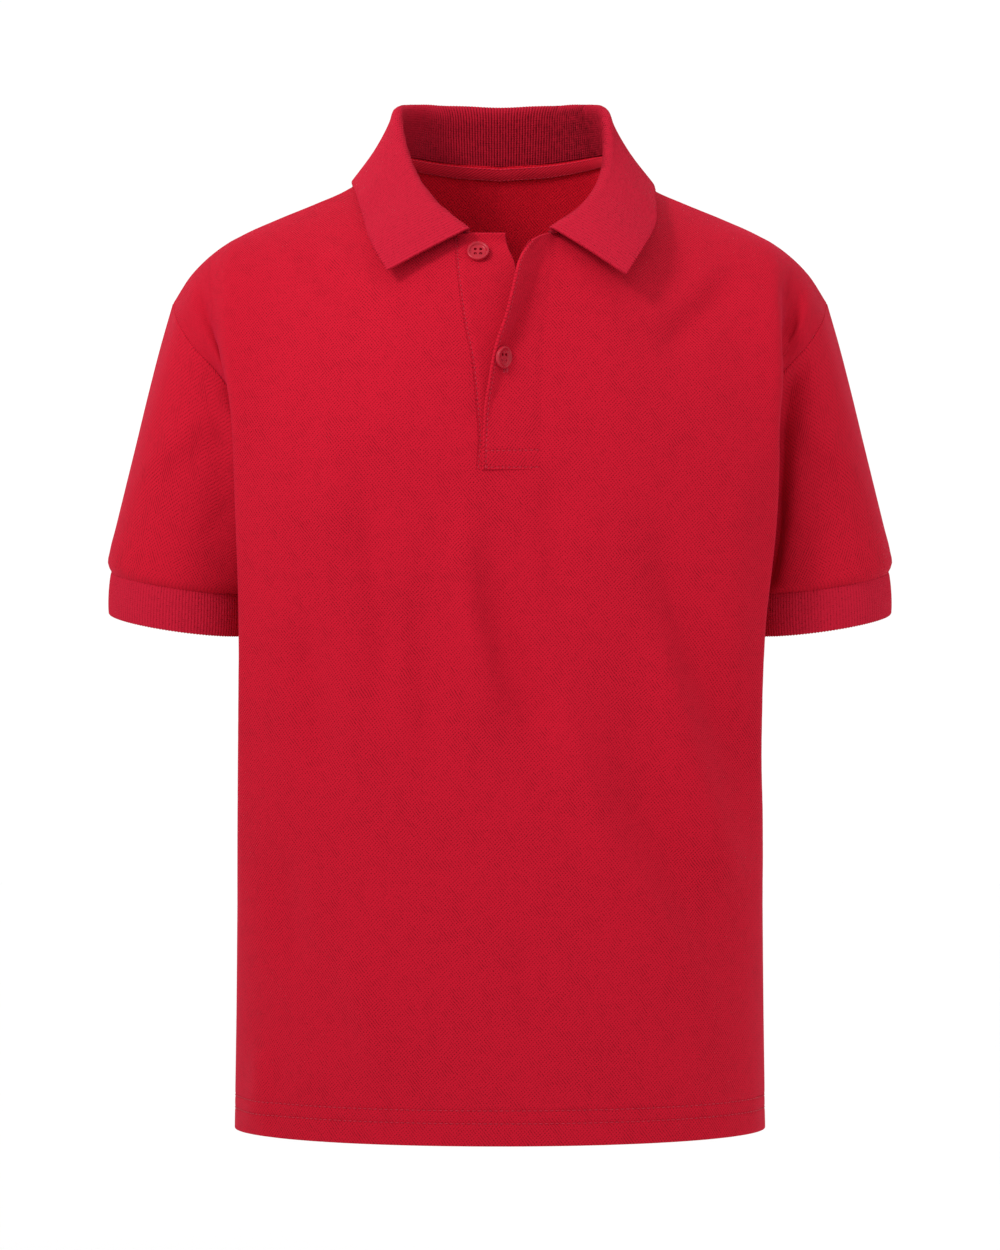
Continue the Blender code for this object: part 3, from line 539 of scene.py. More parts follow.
# Soft folds: depth out of the cloth (- for a trough), half width, and the way each runs, as x and z
folds = {
    # they deepen by this share over the belly
    "deeper": 0.45, "deeperFrom": -0.190,
    "front": [
        (-0.0050, 0.0055, [(0.1642, -0.045), (0.1652, -0.080), (0.1655, -0.125)]),
        (0.0040, 0.0090, [(-0.017, -0.168), (-0.019, -0.206), (-0.018, -0.239), (-0.008, -0.289),
                          (-0.002, -0.318)]),
        (-0.0030, 0.0100, [(-0.004, -0.200), (0.000, -0.250), (0.015, -0.294), (0.024, -0.330)]),
        (0.0036, 0.0125, [(0.080, -0.215), (0.094, -0.283), (0.108, -0.339), (0.125, -0.383),
                          (0.136, -0.406)]),
        (0.0034, 0.0120, [(0.033, -0.255), (0.042, -0.322), (0.061, -0.383), (0.089, -0.420),
                          (0.133, -0.500)]),
        (0.0020, 0.0120, [(0.138, -0.139), (0.131, -0.225), (0.139, -0.295)]),
        (-0.0040, 0.0125, [(0.088, -0.160), (0.092, -0.217), (0.105, -0.261), (0.128, -0.317),
                           (0.140, -0.365)]),
        (-0.0024, 0.0100, [(0.027, -0.160), (0.029, -0.200), (0.038, -0.261)]),
        (-0.0032, 0.0120, [(0.058, -0.285), (0.080, -0.350), (0.097, -0.389), (0.122, -0.440)]),
        (-0.0028, 0.0095, [(-0.077, -0.160), (-0.072, -0.217), (-0.066, -0.267), (-0.070, -0.320)]),
        (-0.0028, 0.0100, [(-0.112, -0.240), (-0.104, -0.294), (-0.097, -0.352)]),
        (-0.0022, 0.0100, [(-0.047, -0.210), (-0.042, -0.283), (-0.036, -0.355)]),
        (0.0020, 0.0100, [(-0.094, -0.132), (-0.092, -0.172), (-0.095, -0.225)]),
        (-0.0026, 0.0110, [(-0.126, -0.370), (-0.120, -0.416), (-0.115, -0.455)]),
        (0.0026, 0.0110, [(-0.090, -0.425), (-0.074, -0.471), (-0.062, -0.512)]),
        (0.0022, 0.0080, [(-0.133, -0.480), (-0.135, -0.516), (-0.138, -0.545)]),
        (-0.0018, 0.0110, [(0.010, -0.420), (0.016, -0.455), (0.024, -0.500)]),
        (-0.0024, 0.0075, [(-0.122, -0.034), (-0.092, -0.064), (-0.056, -0.094)]),
        (0.0018, 0.0065, [(-0.106, -0.030), (-0.078, -0.058), (-0.046, -0.086)]),
        (-0.0036, 0.0090, [(0.142, -0.046), (0.111, -0.081), (0.084, -0.106)]),
        (0.0016, 0.0080, [(0.132, -0.040), (0.100, -0.070), (0.070, -0.092)]),
    ],
    "back": [
        (0.0042, 0.015, [(-0.050, -0.130), (-0.078, -0.260), (-0.112, -0.400)]),
        (-0.0040, 0.016, [(-0.080, -0.150), (-0.118, -0.270), (-0.104, -0.400)]),
        (0.0034, 0.014, [(-0.040, -0.340), (-0.092, -0.439), (-0.130, -0.500)]),
        (-0.0034, 0.012, [(0.095, -0.170), (0.101, -0.270), (0.090, -0.370)]),
        (0.0030, 0.011, [(0.060, -0.180), (0.072, -0.280), (0.060, -0.390)]),
        (-0.0028, 0.013, [(0.020, -0.220), (0.010, -0.330), (-0.020, -0.440)]),
        (0.0026, 0.012, [(0.110, -0.370), (0.092, -0.455), (0.050, -0.515)]),
        (-0.0030, 0.010, [(0.135, -0.052), (0.100, -0.080), (0.070, -0.100)]),
        (-0.0030, 0.010, [(-0.138, -0.052), (-0.104, -0.082), (-0.072, -0.104)]),
        (0.0022, 0.012, [(-0.010, -0.110), (-0.004, -0.190), (0.004, -0.280)]),
    ],
}


def foldShift(x, z, table):
    total = np.zeros_like(x)
    for depth, width, way in table:
        way = np.array(way, float)
        fine = smoothThrough(np.linspace(0, 1, len(way)), way, np.linspace(0, 1, 25))
        reach = np.linspace(0, 1, 25)
        gap = np.full(x.shape, 1e9)
        share = np.zeros_like(x)
        for k in range(24):
            a, step = fine[k], fine[k + 1] - fine[k]
            t = np.clip(((x - a[0]) * step[0] + (z - a[1]) * step[1]) / step.dot(step), 0, 1)
            far = (x - a[0] - t * step[0]) ** 2 + (z - a[1] - t * step[1]) ** 2
            nearer = far < gap
            gap = np.where(nearer, far, gap)
            share = np.where(nearer, reach[k] + t / 24, share)
        fade = smoothStep(share / 0.35) * smoothStep((1 - share) / 0.35)
        total += depth * np.exp(-gap / width**2) * fade
    return total


def panelForm(face):
    # a whole panel from the shirt's right to its left, folds and all
    right, left = (halfForm(side, face, panelShares, panelHeights, torso["upperRows"]) for side in (-1, 1))
    full = np.concatenate([easeKink(right)[:, :0:-1], easeKink(left)], axis=1)
    shares = np.concatenate([panelShares[:0:-1], panelShares])
    normals = gridNormals(full, np.array([0, face, 0.3]))
    table = folds["front" if face < 0 else "back"]
    shift = foldShift(full[..., 0], full[..., 2], table)
    shift *= 1 + folds["deeper"] * smoothStep((folds["deeperFrom"] - full[..., 2]) / 0.08)
    rim = smoothStep((1 - shares) / 0.12)[None, :]
    crown = smoothStep((len(full) - 1 - np.arange(len(full))) / 14)[:, None]
    full += normals * (shift * rim * crown)[..., None]
    # uneven puckers along the hem
    lift = full[..., 2] - hem["z"]
    x = full[..., 0]
    pucker = np.sin(x * 410 + face) + 0.7 * np.sin(x * 263 + 1.3) + 0.5 * np.sin(x * 697 + 0.4)
    pucker *= hem["pucker"]
    pucker *= np.exp(-(((lift - hem["puckerUp"]) / hem["puckerSpread"]) ** 2)) * rim
    for row in hem["rows"]:
        pucker -= hem["groove"] * np.exp(-(((lift - row) / hem["grooveWidth"]) ** 2))
    return full + normals * pucker[..., None]


frontForm = panelForm(-1)
backForm = panelForm(1)
print("panel forms made")


# Front and back panels

def armholeMiddle(side):
    x, z = torso["armholeMiddle"]
    return np.array([side * x, torso["sideSeamY"], z])


def turnUpHem(grid, normals):
    # the cloth folded under at the hem, its inner layer first
    heights = hem["z"] + np.array(hem["steps"])
    inner = []
    for step in hem["innerSteps"]:
        k = nearest(heights, hem["z"] + step)
        point = grid[k] - normals[k] * hem["radius"] * 2
        point[:, 2] += step + hem["z"] - heights[k]
        inner.append(point)
    for angle in np.radians((150, 120, 90, 60, 30)):
        point = grid[0] - normals[0] * hem["radius"] * (1 - math.cos(angle))
        point[:, 2] -= hem["radius"] * math.sin(angle)
        inner.append(point)
    return np.concatenate([np.array(inner), grid]), len(inner)


def seamEdges(grid, underarm):
    # rolls in the sides, armholes and shoulders of a whole panel
    rise = (np.arange(len(grid)) - underarm) / torso["upperRows"]
    radial = smoothStep(rise / 0.15)[:, None]
    for edge, side in (("first", -1), ("last", 1)):
        line = grid[:, 0 if side < 0 else -1]
        inward = np.array([-side, 0.0, 0.0]) * (1 - radial) + unit(armholeMiddle(side) - line) * radial
        grid = rollIn(grid, edge, inward, torso["wall"])
    shoulder = abs(grid[-1, :, 0]) >= torso["shoulder"][0][0] - 1e-4
    inward = np.tile([0.0, 0.0, -1.0], (grid.shape[1], 1))
    return rollIn(grid, "top", inward, torso["wall"], shoulder.astype(float))


def panelPiece(name, grid, face, foot=0, cut=None):
    # the columns in cut are left out from the row foot up
    columns = grid.shape[1]
    grid, extra = turnUpHem(grid, gridNormals(grid, np.array([0, face, 0.3])))
    underarm = extra + len(panelHeights) - 1
    grid = seamEdges(grid, underarm)
    keep = None
    if cut is not None:
        lead = (grid.shape[1] - columns) // 2
        keep = np.ones((grid.shape[0] - 1, grid.shape[1] - 1), bool)
        keep[foot + extra:, cut.start + lead:cut.stop + lead] = False
    place = panelPlace(grid, underarm)
    return clothPiece(name, grid, place, torso["wall"], piqueKnit, keep=keep)


# The back's inner face inside the neck, which gets painted light: from this height up and so far out
paintedNeckLightArea = {"lowest": -0.100, "rise": 0.055, "outermost": 0.085, "fade": 0.025}


def shirtBack():
    piece = panelPiece("back_panel", backForm, 1)
    points, facing = np.empty((2, len(piece.data.vertices) * 3), np.float32)
    piece.data.vertices.foreach_get("co", points)
    piece.data.vertices.foreach_get("normal", facing)
    x, _, z = points.reshape(-1, 3).T
    # painted light: this mask brightens the colour of the back's inner face near the neck
    paintedLightShadeMask = smoothStep((z - paintedNeckLightArea["lowest"]) / paintedNeckLightArea["rise"])
    paintedLightShadeMask *= smoothStep((paintedNeckLightArea["outermost"] - abs(x)) / paintedNeckLightArea["fade"]) * (facing[1::3] < 0)
    setInside(piece.data, paintedLightShadeMask)
    return settle(piece, "pique", "back")


# Placket: where its two halves are sewn to the front, and the free edge of the upper one
placket = {
    "underSeam": [(-0.1665, -0.0133), (-0.1500, -0.0122), (-0.1300, -0.0135), (-0.1050, -0.0160),
                  (-0.0850, -0.0200), (-0.0600, -0.0236), (-0.0300, -0.0262)],  # z, x
    "overSeam": [(-0.1665, 0.0222), (-0.1300, 0.0226), (-0.0950, 0.0242), (-0.0600, 0.0288),
                 (-0.0300, 0.0325)],
    "underWidth": 0.0335, "underTopZ": -0.0322, "underCorner": 0.0042, "cornerFrom": -0.052,
    "cornerRise": 0.017,
    "overEdge": [  # z, x, how far it stands forward, where its valley lies
        (-0.1665, -0.0100, 0.0000, 0.97), (-0.1502, -0.0096, 0.0004, 0.95),
        (-0.1306, -0.0085, 0.0025, 0.88), (-0.1170, -0.0062, 0.0050, 0.80),
        (-0.1046, -0.0039, 0.0078, 0.76), (-0.0950, -0.0014, 0.0098, 0.80),
        (-0.0830, 0.0028, 0.0118, 0.72), (-0.0696, 0.0062, 0.0134, 0.54),
        (-0.0582, 0.0088, 0.0142, 0.32), (-0.0510, 0.0106, 0.0136, 0.18),
        (-0.0450, 0.0135, 0.0116, 0.10), (-0.0400, 0.0170, 0.0095, 0.05)],
    "overTopZ": -0.0324, "overTopBow": 0.0028, "foot": -0.1665, "lap": 0.0024, "wall": 0.0020,
    "gap": 0.00005, "curl": 0.55, "soften": 1.1,
}


def seamX(table, z):
    heights, places = zip(*table)
    return smoothThrough(heights, places, z)


# The front's depth over the chest, on an even grid of x and z, so that the placket can follow it
chest = {"x": np.linspace(-0.085, 0.085, 171), "z": np.linspace(-0.215, -0.024, 192)}


def chestDepths():
    places, depths = (np.array([np.interp(chest["x"], row[:, 0], row[:, k]) for row in frontForm])
                      for k in (2, 1))
    columns = zip(places.T, depths.T)
    return np.stack([np.interp(chest["z"], place, depth) for place, depth in columns], axis=1)


chest["depth"] = chestDepths()


def frontDepth(x, z):
    column, row = (np.clip((at - line[0]) / (line[1] - line[0]), 0, len(line) - 1.001)
                   for at, line in ((x, chest["x"]), (z, chest["z"])))
    j, i = int(column), int(row)
    s, t = column - j, row - i
    (a, b), (c, d) = chest["depth"][i:i + 2, j:j + 2]
    return (a * (1 - s) + b * s) * (1 - t) + (c * (1 - s) + d * s) * t


def frontPoint(x, z, forward=0.0):
    step = 0.002
    slopeX = (frontDepth(x + step, z) - frontDepth(x - step, z)) / (2 * step)
    slopeZ = (frontDepth(x, z + step) - frontDepth(x, z - step)) / (2 * step)
    normal = unit(np.array([slopeX, -1, slopeZ]))
    return np.array([x, frontDepth(x, z), z]) + normal * forward


opening = {"columns": 16}  # columns of the front that the placket's opening takes the place of


def shirtFront():
    # the panel's columns are drawn aside to the placket's two seams, and what is between is cut out
    middle, neckShare = len(panelShares) - 1, torso["neckShare"]
    sides = []
    for side, table in ((-1, placket["underSeam"]), (1, placket["overSeam"])):
        rows = []
        for row in frontForm[:, middle::-1] if side < 0 else frontForm[:, middle:]:
            first = np.interp(0, side * (row[:, 0] - seamX(table, row[:, 2])), panelShares)
            beyond = first + (neckShare - first) * panelShares / neckShare
            rows.append(readLine(np.where(panelShares < neckShare, beyond, panelShares), panelShares, row))
        sides.append(np.array(rows))
    right, left = sides
    between = []
    for rowRight, rowLeft, row in zip(right, left, frontForm):
        points = np.linspace(rowRight[0], rowLeft[0], opening["columns"] + 1)[1:-1]
        points[:, 1] = np.interp(points[:, 0], row[:, 0], row[:, 1])
        between.append(points)
    grid = np.concatenate([right[:, ::-1], np.array(between), left], axis=1)
    # the row at the opening's foot lies level
    foot = nearest(right[:, 0, 2], placket["foot"])
    lift = np.exp(-(((np.arange(len(grid)) - foot) / 2.0) ** 2))[:, None]
    centre = slice(middle - 3, middle + opening["columns"] + 4)
    grid[:, centre, 2] += lift * (placket["foot"] - grid[foot, middle, 2])
    piece = panelPiece("front_panel", grid, -1, foot, slice(middle, middle + opening["columns"]))
    return settle(piece, "pique", "front")


backPanel = shirtBack()
frontPanel = shirtFront()
print("front and back made")


# Sleeves and cuffs

sleeve = {
    "top": {"x": 0.1829, "y": 0.0060, "z": -0.2272, "wide": 0.0408, "deep": 0.0420},
    "foot": {"x": 0.1838, "y": 0.0060, "z": -0.2515, "wide": 0.0415, "deep": 0.0425},
    "tiltOut": 0.14, "tiltFront": 0.12,
    # how far down from the armhole to the cuff, how far the cloth stands out all round, and how
    # much more it does so away from the body
    "levels": [(0.00, 0.0000, 0.0000), (0.16, 0.0004, 0.0014), (0.34, 0.0009, 0.0020),
               (0.52, 0.0014, 0.0020), (0.70, 0.0019, 0.0019), (0.84, 0.0024, 0.0016),
               (0.925, 0.0028, 0.0013), (0.975, 0.0022, 0.0009), (1.00, 0.0002, 0.0000)],
    "underarmClear": 0.0034, "wall": 0.0010, "rows": 62,
    # depth, half width as a turn, then turn and share down for each point; turn 0.25 is the front
    "folds": [(-0.0010, 0.028, [(0.20, 0.06), (0.27, 0.35), (0.36, 0.62)]),
              (0.0012, 0.026, [(0.26, 0.10), (0.33, 0.38), (0.42, 0.70)]),
              (-0.0008, 0.024, [(0.12, 0.20), (0.18, 0.50), (0.24, 0.80)]),
              (-0.0020, 0.028, [(0.80, 0.06), (0.73, 0.35), (0.64, 0.62)]),
              (0.0016, 0.026, [(0.74, 0.10), (0.67, 0.38), (0.58, 0.70)]),
              (-0.0014, 0.024, [(0.88, 0.20), (0.82, 0.50), (0.76, 0.80)]),
              (-0.0030, 0.030, [(0.895, 0.10), (0.905, 0.50), (0.915, 0.98)])],
    # beside the body, in front: the right sleeve lies forward and the left one folds in
    "beside": {-1: (0.0094, 0.050, [(0.260, -0.40), (0.210, 0.00), (0.160, 0.25), (0.122, 0.55),
                                    (0.102, 0.90), (0.090, 1.60)]),
               1: (-0.0095, 0.030, [(0.350, -0.30), (0.300, 0.05), (0.236, 0.31), (0.182, 0.57),
                                    (0.122, 0.92), (0.080, 1.50)])},
}
cuff = {"wall": 0.0014, "ribs": 146, "perRib": 4, "rows": 16, "rib": 0.00016, "edge": 0.00022,
        "hump": 0.0008, "tuckUp": (0.0050, 0.0012), "tuckIn": 0.0014, "edgeRound": 0.0004}


def armRing(sizes, side, turns, grow=0.0):
    angle = np.asarray(turns) * 2 * math.pi
    out = -np.cos(angle) * (sizes["wide"] + grow)
    deep = -np.sin(angle) * (sizes["deep"] + grow)
    z = sizes["z"] + out * sleeve["tiltOut"] + deep * sleeve["tiltFront"]
    return np.stack([side * (sizes["x"] + out), sizes["y"] + deep, z], axis=1)


def armholeRing(side):
    halves = []
    for face in (-1, 1):
        edge = halfForm(side, face, [torso["foldShare"], 1.0], [underarmZ], torso["upperRows"])[:, -1]
        halves.append(edge if face < 0 else edge[::-1])
    return np.concatenate([halves[0][:-1], halves[1]])


def makeSleeve(name, side, node):
    start = armholeRing(side)
    turns = np.linspace(0, 1, len(start))
    start[:, 0] += side * sleeve["underarmClear"] * np.cos(turns * math.pi) ** 4
    along = np.linspace(0, 1, sleeve["rows"])
    table = np.array(sleeve["levels"])
    rows = []
    for share, (stand, out) in zip(along, smoothThrough(table[:, 0], table[:, 1:], along)):
        row = start + (armRing(sleeve["top"], side, turns, float(stand)) - start) * share
        row[:, 0] += side * out * np.sin(turns * math.pi) ** 2
        rows.append(row)
    grid = np.array(rows)
    low = armRing(sleeve["top"], side, turns).mean(axis=0)
    middle = start.mean(axis=0) * (1 - along[:, None]) + low * along[:, None]
    normals = gridNormals(grid, grid - middle[:, None])
    # a turn is about twice as far as the way down, so the shares down are halved
    ways = [(depth, width, [(turn, share * 0.5) for turn, share in way])
            for depth, width, way in [*sleeve["folds"], sleeve["beside"][side]]]
    shift = foldShift(*np.meshgrid(turns, along * 0.5), ways)
    ends = smoothStep(along / 0.10) * smoothStep((1 - along) / 0.10)
    grid += normals * (shift * ends[:, None])[..., None]
    grid = rollIn(grid, "bottom", armholeMiddle(side) - grid[0], sleeve["wall"])
    grid = rollIn(grid, "top", low - grid[-1], sleeve["wall"])
    grid[:, -1] = grid[:, 0]
    piece = clothPiece(name, grid, clothPlace(grid), sleeve["wall"], piqueKnit, around=True)
    return settle(piece, "pique", node)


def makeCuff(name, side, node):
    columns = cuff["ribs"] * cuff["perRib"]
    turns = np.linspace(0, 1, columns + 1)
    top, foot = (armRing(sleeve[end], side, turns) for end in ("top", "foot"))
    down = (foot - top) / (sleeve["top"]["z"] - sleeve["foot"]["z"])
    out = unit((top - top.mean(axis=0)) * np.array([1, 1, 0.2]))
    grid = [top - out * cuff["tuckIn"] - down * tuck for tuck in cuff["tuckUp"]]
    phase = np.arange(columns + 1) / cuff["perRib"] * 2 * math.pi
    for share in np.linspace(0, 1, cuff["rows"]):
        hump = math.sin(math.pi * min(share * 1.05, 1)) ** 0.6 * cuff["hump"]
        ribs = -np.cos(phase) * cuff["rib"] * smoothStep(share / 0.08)
        last = cuff["edge"] * np.cos(phase) * smoothStep((share - 0.9) / 0.1)
        grid.append(top + (foot - top) * share + out * (hump + ribs)[:, None] + down * last[:, None])
    grid = np.array(grid)
    grid[:, -1] = grid[:, 0]
    place = clothPlace(grid)
    place[..., 0] = (phase / (2 * math.pi) * rib["pitch"])[None, :]
    piece = clothPiece(name, grid, place, cuff["wall"], ribKnit, around=True,
                       edgeRound=cuff["edgeRound"])
    length = runs(top)[-1] * 1000
    print(f"{name}: {length:.0f} mm round, ribs {length / cuff['ribs']:.2f} mm apart")
    return settle(piece, "rib", node)


sleeveRight = makeSleeve("sleeve_right_panel", -1, "sleeve_right")
sleeveLeft = makeSleeve("sleeve_left_panel", 1, "sleeve_left")
cuffRight = makeCuff("cuff_right_rib", -1, "cuff_right")
cuffLeft = makeCuff("cuff_left_rib", 1, "cuff_left")
print("sleeves made")


# Collar

collar = {
    # seam, top of the roll, outer edge, and how far the fall bows between them
    "back": [((0, 0.0555, 0.0165), (0, 0.0575, 0.0518), (0, 0.0745, 0.0060), 0.0015)],
    "left": [
        ((0.0300, 0.0500, 0.0180), (0.0325, 0.0505, 0.0522), (0.0405, 0.0680, 0.0050), 0.0010),
        ((0.0545, 0.0320, 0.0200), (0.0535, 0.0280, 0.0500), (0.0725, 0.0430, 0.0045), -0.0008),
        ((0.0635, 0.0040, 0.0180), (0.0592, -0.0010, 0.0430), (0.0868, 0.0030, 0.0030), -0.0020),
        ((0.0610, -0.0190, 0.0055), (0.0600, -0.0210, 0.0190), (0.0885, -0.0350, -0.0150), -0.0005),
        ((0.0545, -0.0400, -0.0105), (0.0556, -0.0430, -0.0010), (0.0868, -0.0560, -0.0280), 0.0005),
        ((0.0430, -0.0560, -0.0240), (0.0440, -0.0605, -0.0178), (0.0798, -0.0755, -0.0415), 0.0014),
        ((0.0280, -0.0650, -0.0325), (0.0280, -0.0715, -0.0300), (0.0700, -0.0925, -0.0575), 0.0014),
    ],
    "right": [
        ((-0.0300, 0.0500, 0.0180), (-0.0325, 0.0505, 0.0522), (-0.0405, 0.0680, 0.0050), 0.0010),
        ((-0.0545, 0.0320, 0.0200), (-0.0530, 0.0280, 0.0500), (-0.0715, 0.0430, 0.0045), -0.0008),
        ((-0.0635, 0.0040, 0.0180), (-0.0578, -0.0010, 0.0430), (-0.0842, 0.0030, 0.0040), -0.0018),
        ((-0.0605, -0.0190, 0.0055), (-0.0535, -0.0210, 0.0200), (-0.0812, -0.0300, -0.0085), -0.0004),
        ((-0.0510, -0.0400, -0.0105), (-0.0450, -0.0410, -0.0010), (-0.0768, -0.0510, -0.0235), 0.0004),
        ((-0.0360, -0.0575, -0.0255), (-0.0325, -0.0595, -0.0175), (-0.0722, -0.0700, -0.0380), 0.0012),
        ((-0.0180, -0.0665, -0.0325), (-0.0168, -0.0720, -0.0304), (-0.0630, -0.0860, -0.0548), 0.0012),
    ],
    "rollRadius": 0.0024, "lift": 0.0008, "off": 0.0019, "wall": 0.0015,
    "perRib": 4, "across": 27, "rollShare": 0.42, "closer": 0.07, "ribs": (0.00050, 0.00008),
    "edge": 0.00050, "fallFrom": 0.45, "edgeRound": 0.0004,
}


def collarSection(seamAt, roll, edge, bow, shares):
    seamAt, roll, edge = (np.array(point, float) for point in (seamAt, roll, edge))
    up = unit(roll - (seamAt + edge) / 2)
    out = edge - seamAt
    out = unit(out - up * out.dot(up))
    stand = np.linalg.norm(roll - seamAt)
    radius = min(collar["rollRadius"], stand * 0.35)
    inner = roll - up * radius - out * radius
    outer = roll - up * radius + out * radius
    foot = seamAt + up * min(collar["lift"], stand / 3)
    shoulder = outer + (edge - outer) * 0.12 + out * bow * 0.5
    middle = (outer + edge) / 2 + out * bow
    rows = np.array([foot, (foot + inner) / 2 - out * 0.0005, inner, roll, outer, shoulder, middle, edge])
    return alongLine(smoothThrough(arcShares(rows), rows, np.linspace(0, 1, 121)), shares)


def bodyTree():
    points, faces = [], []
    for grid, face in ((frontForm, -1), (backForm, 1)):
        base, (rows, columns) = len(points), grid.shape[:2]
        points += [tuple(point) for point in grid.reshape(-1, 3)]
        first = len(panelHeights)  # only what lies above the underarm
        for i in range(first, rows - 1):
            for j in range(columns - 1):
                a = base + i * columns + j
                corners = (a, a + 1, a + columns + 1, a + columns)
                faces.append(corners if face < 0 else corners[::-1])
    return BVHTree.FromPolygons(points, faces)


def makeCollar():
    rows = [*collar["right"][::-1], *collar["back"], *collar["left"]]
    lines = [np.array([row[k] for row in rows], float) for k in range(4)]
    # even steps along the roll, four to a rib
    knots, dense = arcShares(lines[1]), np.linspace(0, 1, 800)
    reach = runs(smoothThrough(knots, lines[1], dense))
    ribs = int(round(reach[-1] / rib["pitch"]))
    columns = ribs * collar["perRib"] + 1
    along = np.interp(np.linspace(0, 1, columns), reach / reach[-1], dense)
    sections = zip(*(smoothThrough(knots, line, along) for line in lines))
    shares = np.linspace(0, 1, collar["across"])
    # closer rows over the roll
    turn = 2 * math.pi * collar["rollShare"]
    shares -= collar["closer"] * (np.sin(2 * math.pi * shares - turn) + math.sin(turn))
    grid = np.array([collarSection(*section, shares) for section in sections])
    # the fall stays off the shirt
    tree = bodyTree()
    fall = np.flatnonzero(shares > collar["fallFrom"])
    for section in grid:
        for k in fall:
            near, normal, _, _ = tree.find_nearest(Vector(section[k]))
            above = (Vector(section[k]) - near).dot(normal)
            if above < collar["off"]:
                section[k] = Vector(section[k]) + normal * (collar["off"] - above)
    phase = np.arange(columns) / collar["perRib"] * 2 * math.pi
    normals = unit(np.cross(np.gradient(grid, axis=0), np.gradient(grid, axis=1)))
    normals *= -np.sign(normals[columns // 2, len(shares) // 5, 1])  # out of the face that shows
    rolled = grid[..., 2].argmax(axis=1)[:, None]
    # inside is the stand's inner side: its ribs are cut deeper there, and the rib finish paints shade on it
    inside = smoothStep((rolled - np.arange(len(shares)) + 1) / 4)
    deep, shallow = collar["ribs"]
    depth = shallow + (deep - shallow) * inside
    grid += normals * (-np.cos(phase)[:, None] * depth)[..., None]
    way = unit(grid[:, -1] - grid[:, -3])
    grid[:, -1] += way * (-np.cos(phase) * collar["edge"])[:, None]
    grid = grid.transpose(1, 0, 2)
    place = clothPlace(grid)
    place[..., 0] = (phase / (2 * math.pi) * rib["pitch"])[None, :]
    piece = clothPiece("collar_rib", grid, place, collar["wall"], ribKnit, edgeRound=collar["edgeRound"],
                       inside=inside.T)
    print(f"collar: {reach[-1] * 1000:.0f} mm round, {ribs} ribs")
    return settle(piece, "rib", "collar")


collarPiece = makeCollar()


# Placket

def lapAt(height):
    # the halves lie flatter at the foot, where they are sewn down
    return placket["lap"] * (0.55 + 0.45 * float(smoothStep(height / 0.12)))


def underPoint(share, height):
    low = placket["foot"] + placket["gap"]
    z = low + (placket["underTopZ"] - low) * height
    x = seamX(placket["underSeam"], z) + placket["gap"]
    width = placket["underWidth"] - placket["underCorner"] * float(
        smoothStep((z - placket["cornerFrom"]) / placket["cornerRise"]))
    return frontPoint(x + (width - placket["gap"]) * share, z, -lapAt(height) * share)


def overPoint(across, height):
    # across 0 is the seam, 0.5 the valley and 1 the free edge
    table = np.array(placket["overEdge"])
    foot = placket["foot"] + placket["gap"]
    zEdge = foot + (table[-1, 0] - foot) * height
    zSeam = foot + (placket["overTopZ"] - foot) * height
    xEdge, lift, fold = smoothThrough(table[:, 0], table[:, 1:], zEdge)
    xSeam = seamX(placket["overSeam"], zSeam) - placket["gap"]
    bend = max(across * 2 - 1, 0.0)
    curl = placket["curl"] + placket["soften"] * (1 - fold)
    share = fold * min(across * 2, 1.0) + (1 - fold) * bend
    x = xSeam + (xEdge - xSeam) * share
    z = zSeam + (zEdge - zSeam) * share + placket["overTopBow"] * 4 * share * (1 - share) * height**6
    return frontPoint(x, z, lapAt(height) * share) - np.array([0, lift * bend ** curl, 0])


placketMesh = {"columns": 46, "rows": 110, "easing": 4, "stitchIn": 0.0021, "boxLines": (0.0012, 0.0104),
               "groove": 0.00042, "grooveWidth": 0.0006, "seamStitch": 0.0012, "fold": 0.0004,
               "fineStep": 0.0003, "edgeRound": 0.00018}


def closeSteps(length, count, fine):
    # even steps from 0 to 1, and closer ones about the places in fine
    steps = list(np.linspace(0, length, count)[1:-1])
    for place in fine:
        steps += [place + near * placketMesh["fineStep"] for near in range(-3, 4)]
    kept = [0.0]
    for step in sorted(steps):
        if kept[-1] + 0.00014 < step < length - 0.00014:
            kept.append(step)
    return np.array([*kept, length]) / length


def placketGrid(pointAt, shares, heights, easing=0):
    dense = np.linspace(0, 1, 90)
    grid = np.array([alongLine(np.array([pointAt(a, h) for a in dense]), shares) for h in heights])
    for _ in range(easing):
        grid[:, 1:-1] += ((grid[:, 2:] + grid[:, :-2]) / 2 - grid[:, 1:-1]) * 0.5
    return grid


def placketGaps(grid):
    # how far each point is from the seam, the free edge, the foot and the top
    across = runs(grid, 1)
    upward = runs(grid).mean(axis=1)[:, None] + 0 * across
    return across, across[:, -1:] - across, upward, upward[-1] - upward


def placketWall(gaps):
    # flush with the front where it is sewn on, full where it is folded, rounded at its free edges
    seamGap, edgeGap, footGap, topGap = gaps
    sewn = 0.5 + 0.5 * smoothStep(np.minimum(seamGap / 0.005, footGap / 0.009))
    free = np.clip(np.minimum(edgeGap, topGap) / 0.0010, 0, 1)
    return np.minimum(sewn, 0.25 + 0.75 * np.sqrt(1 - (1 - free) ** 2))


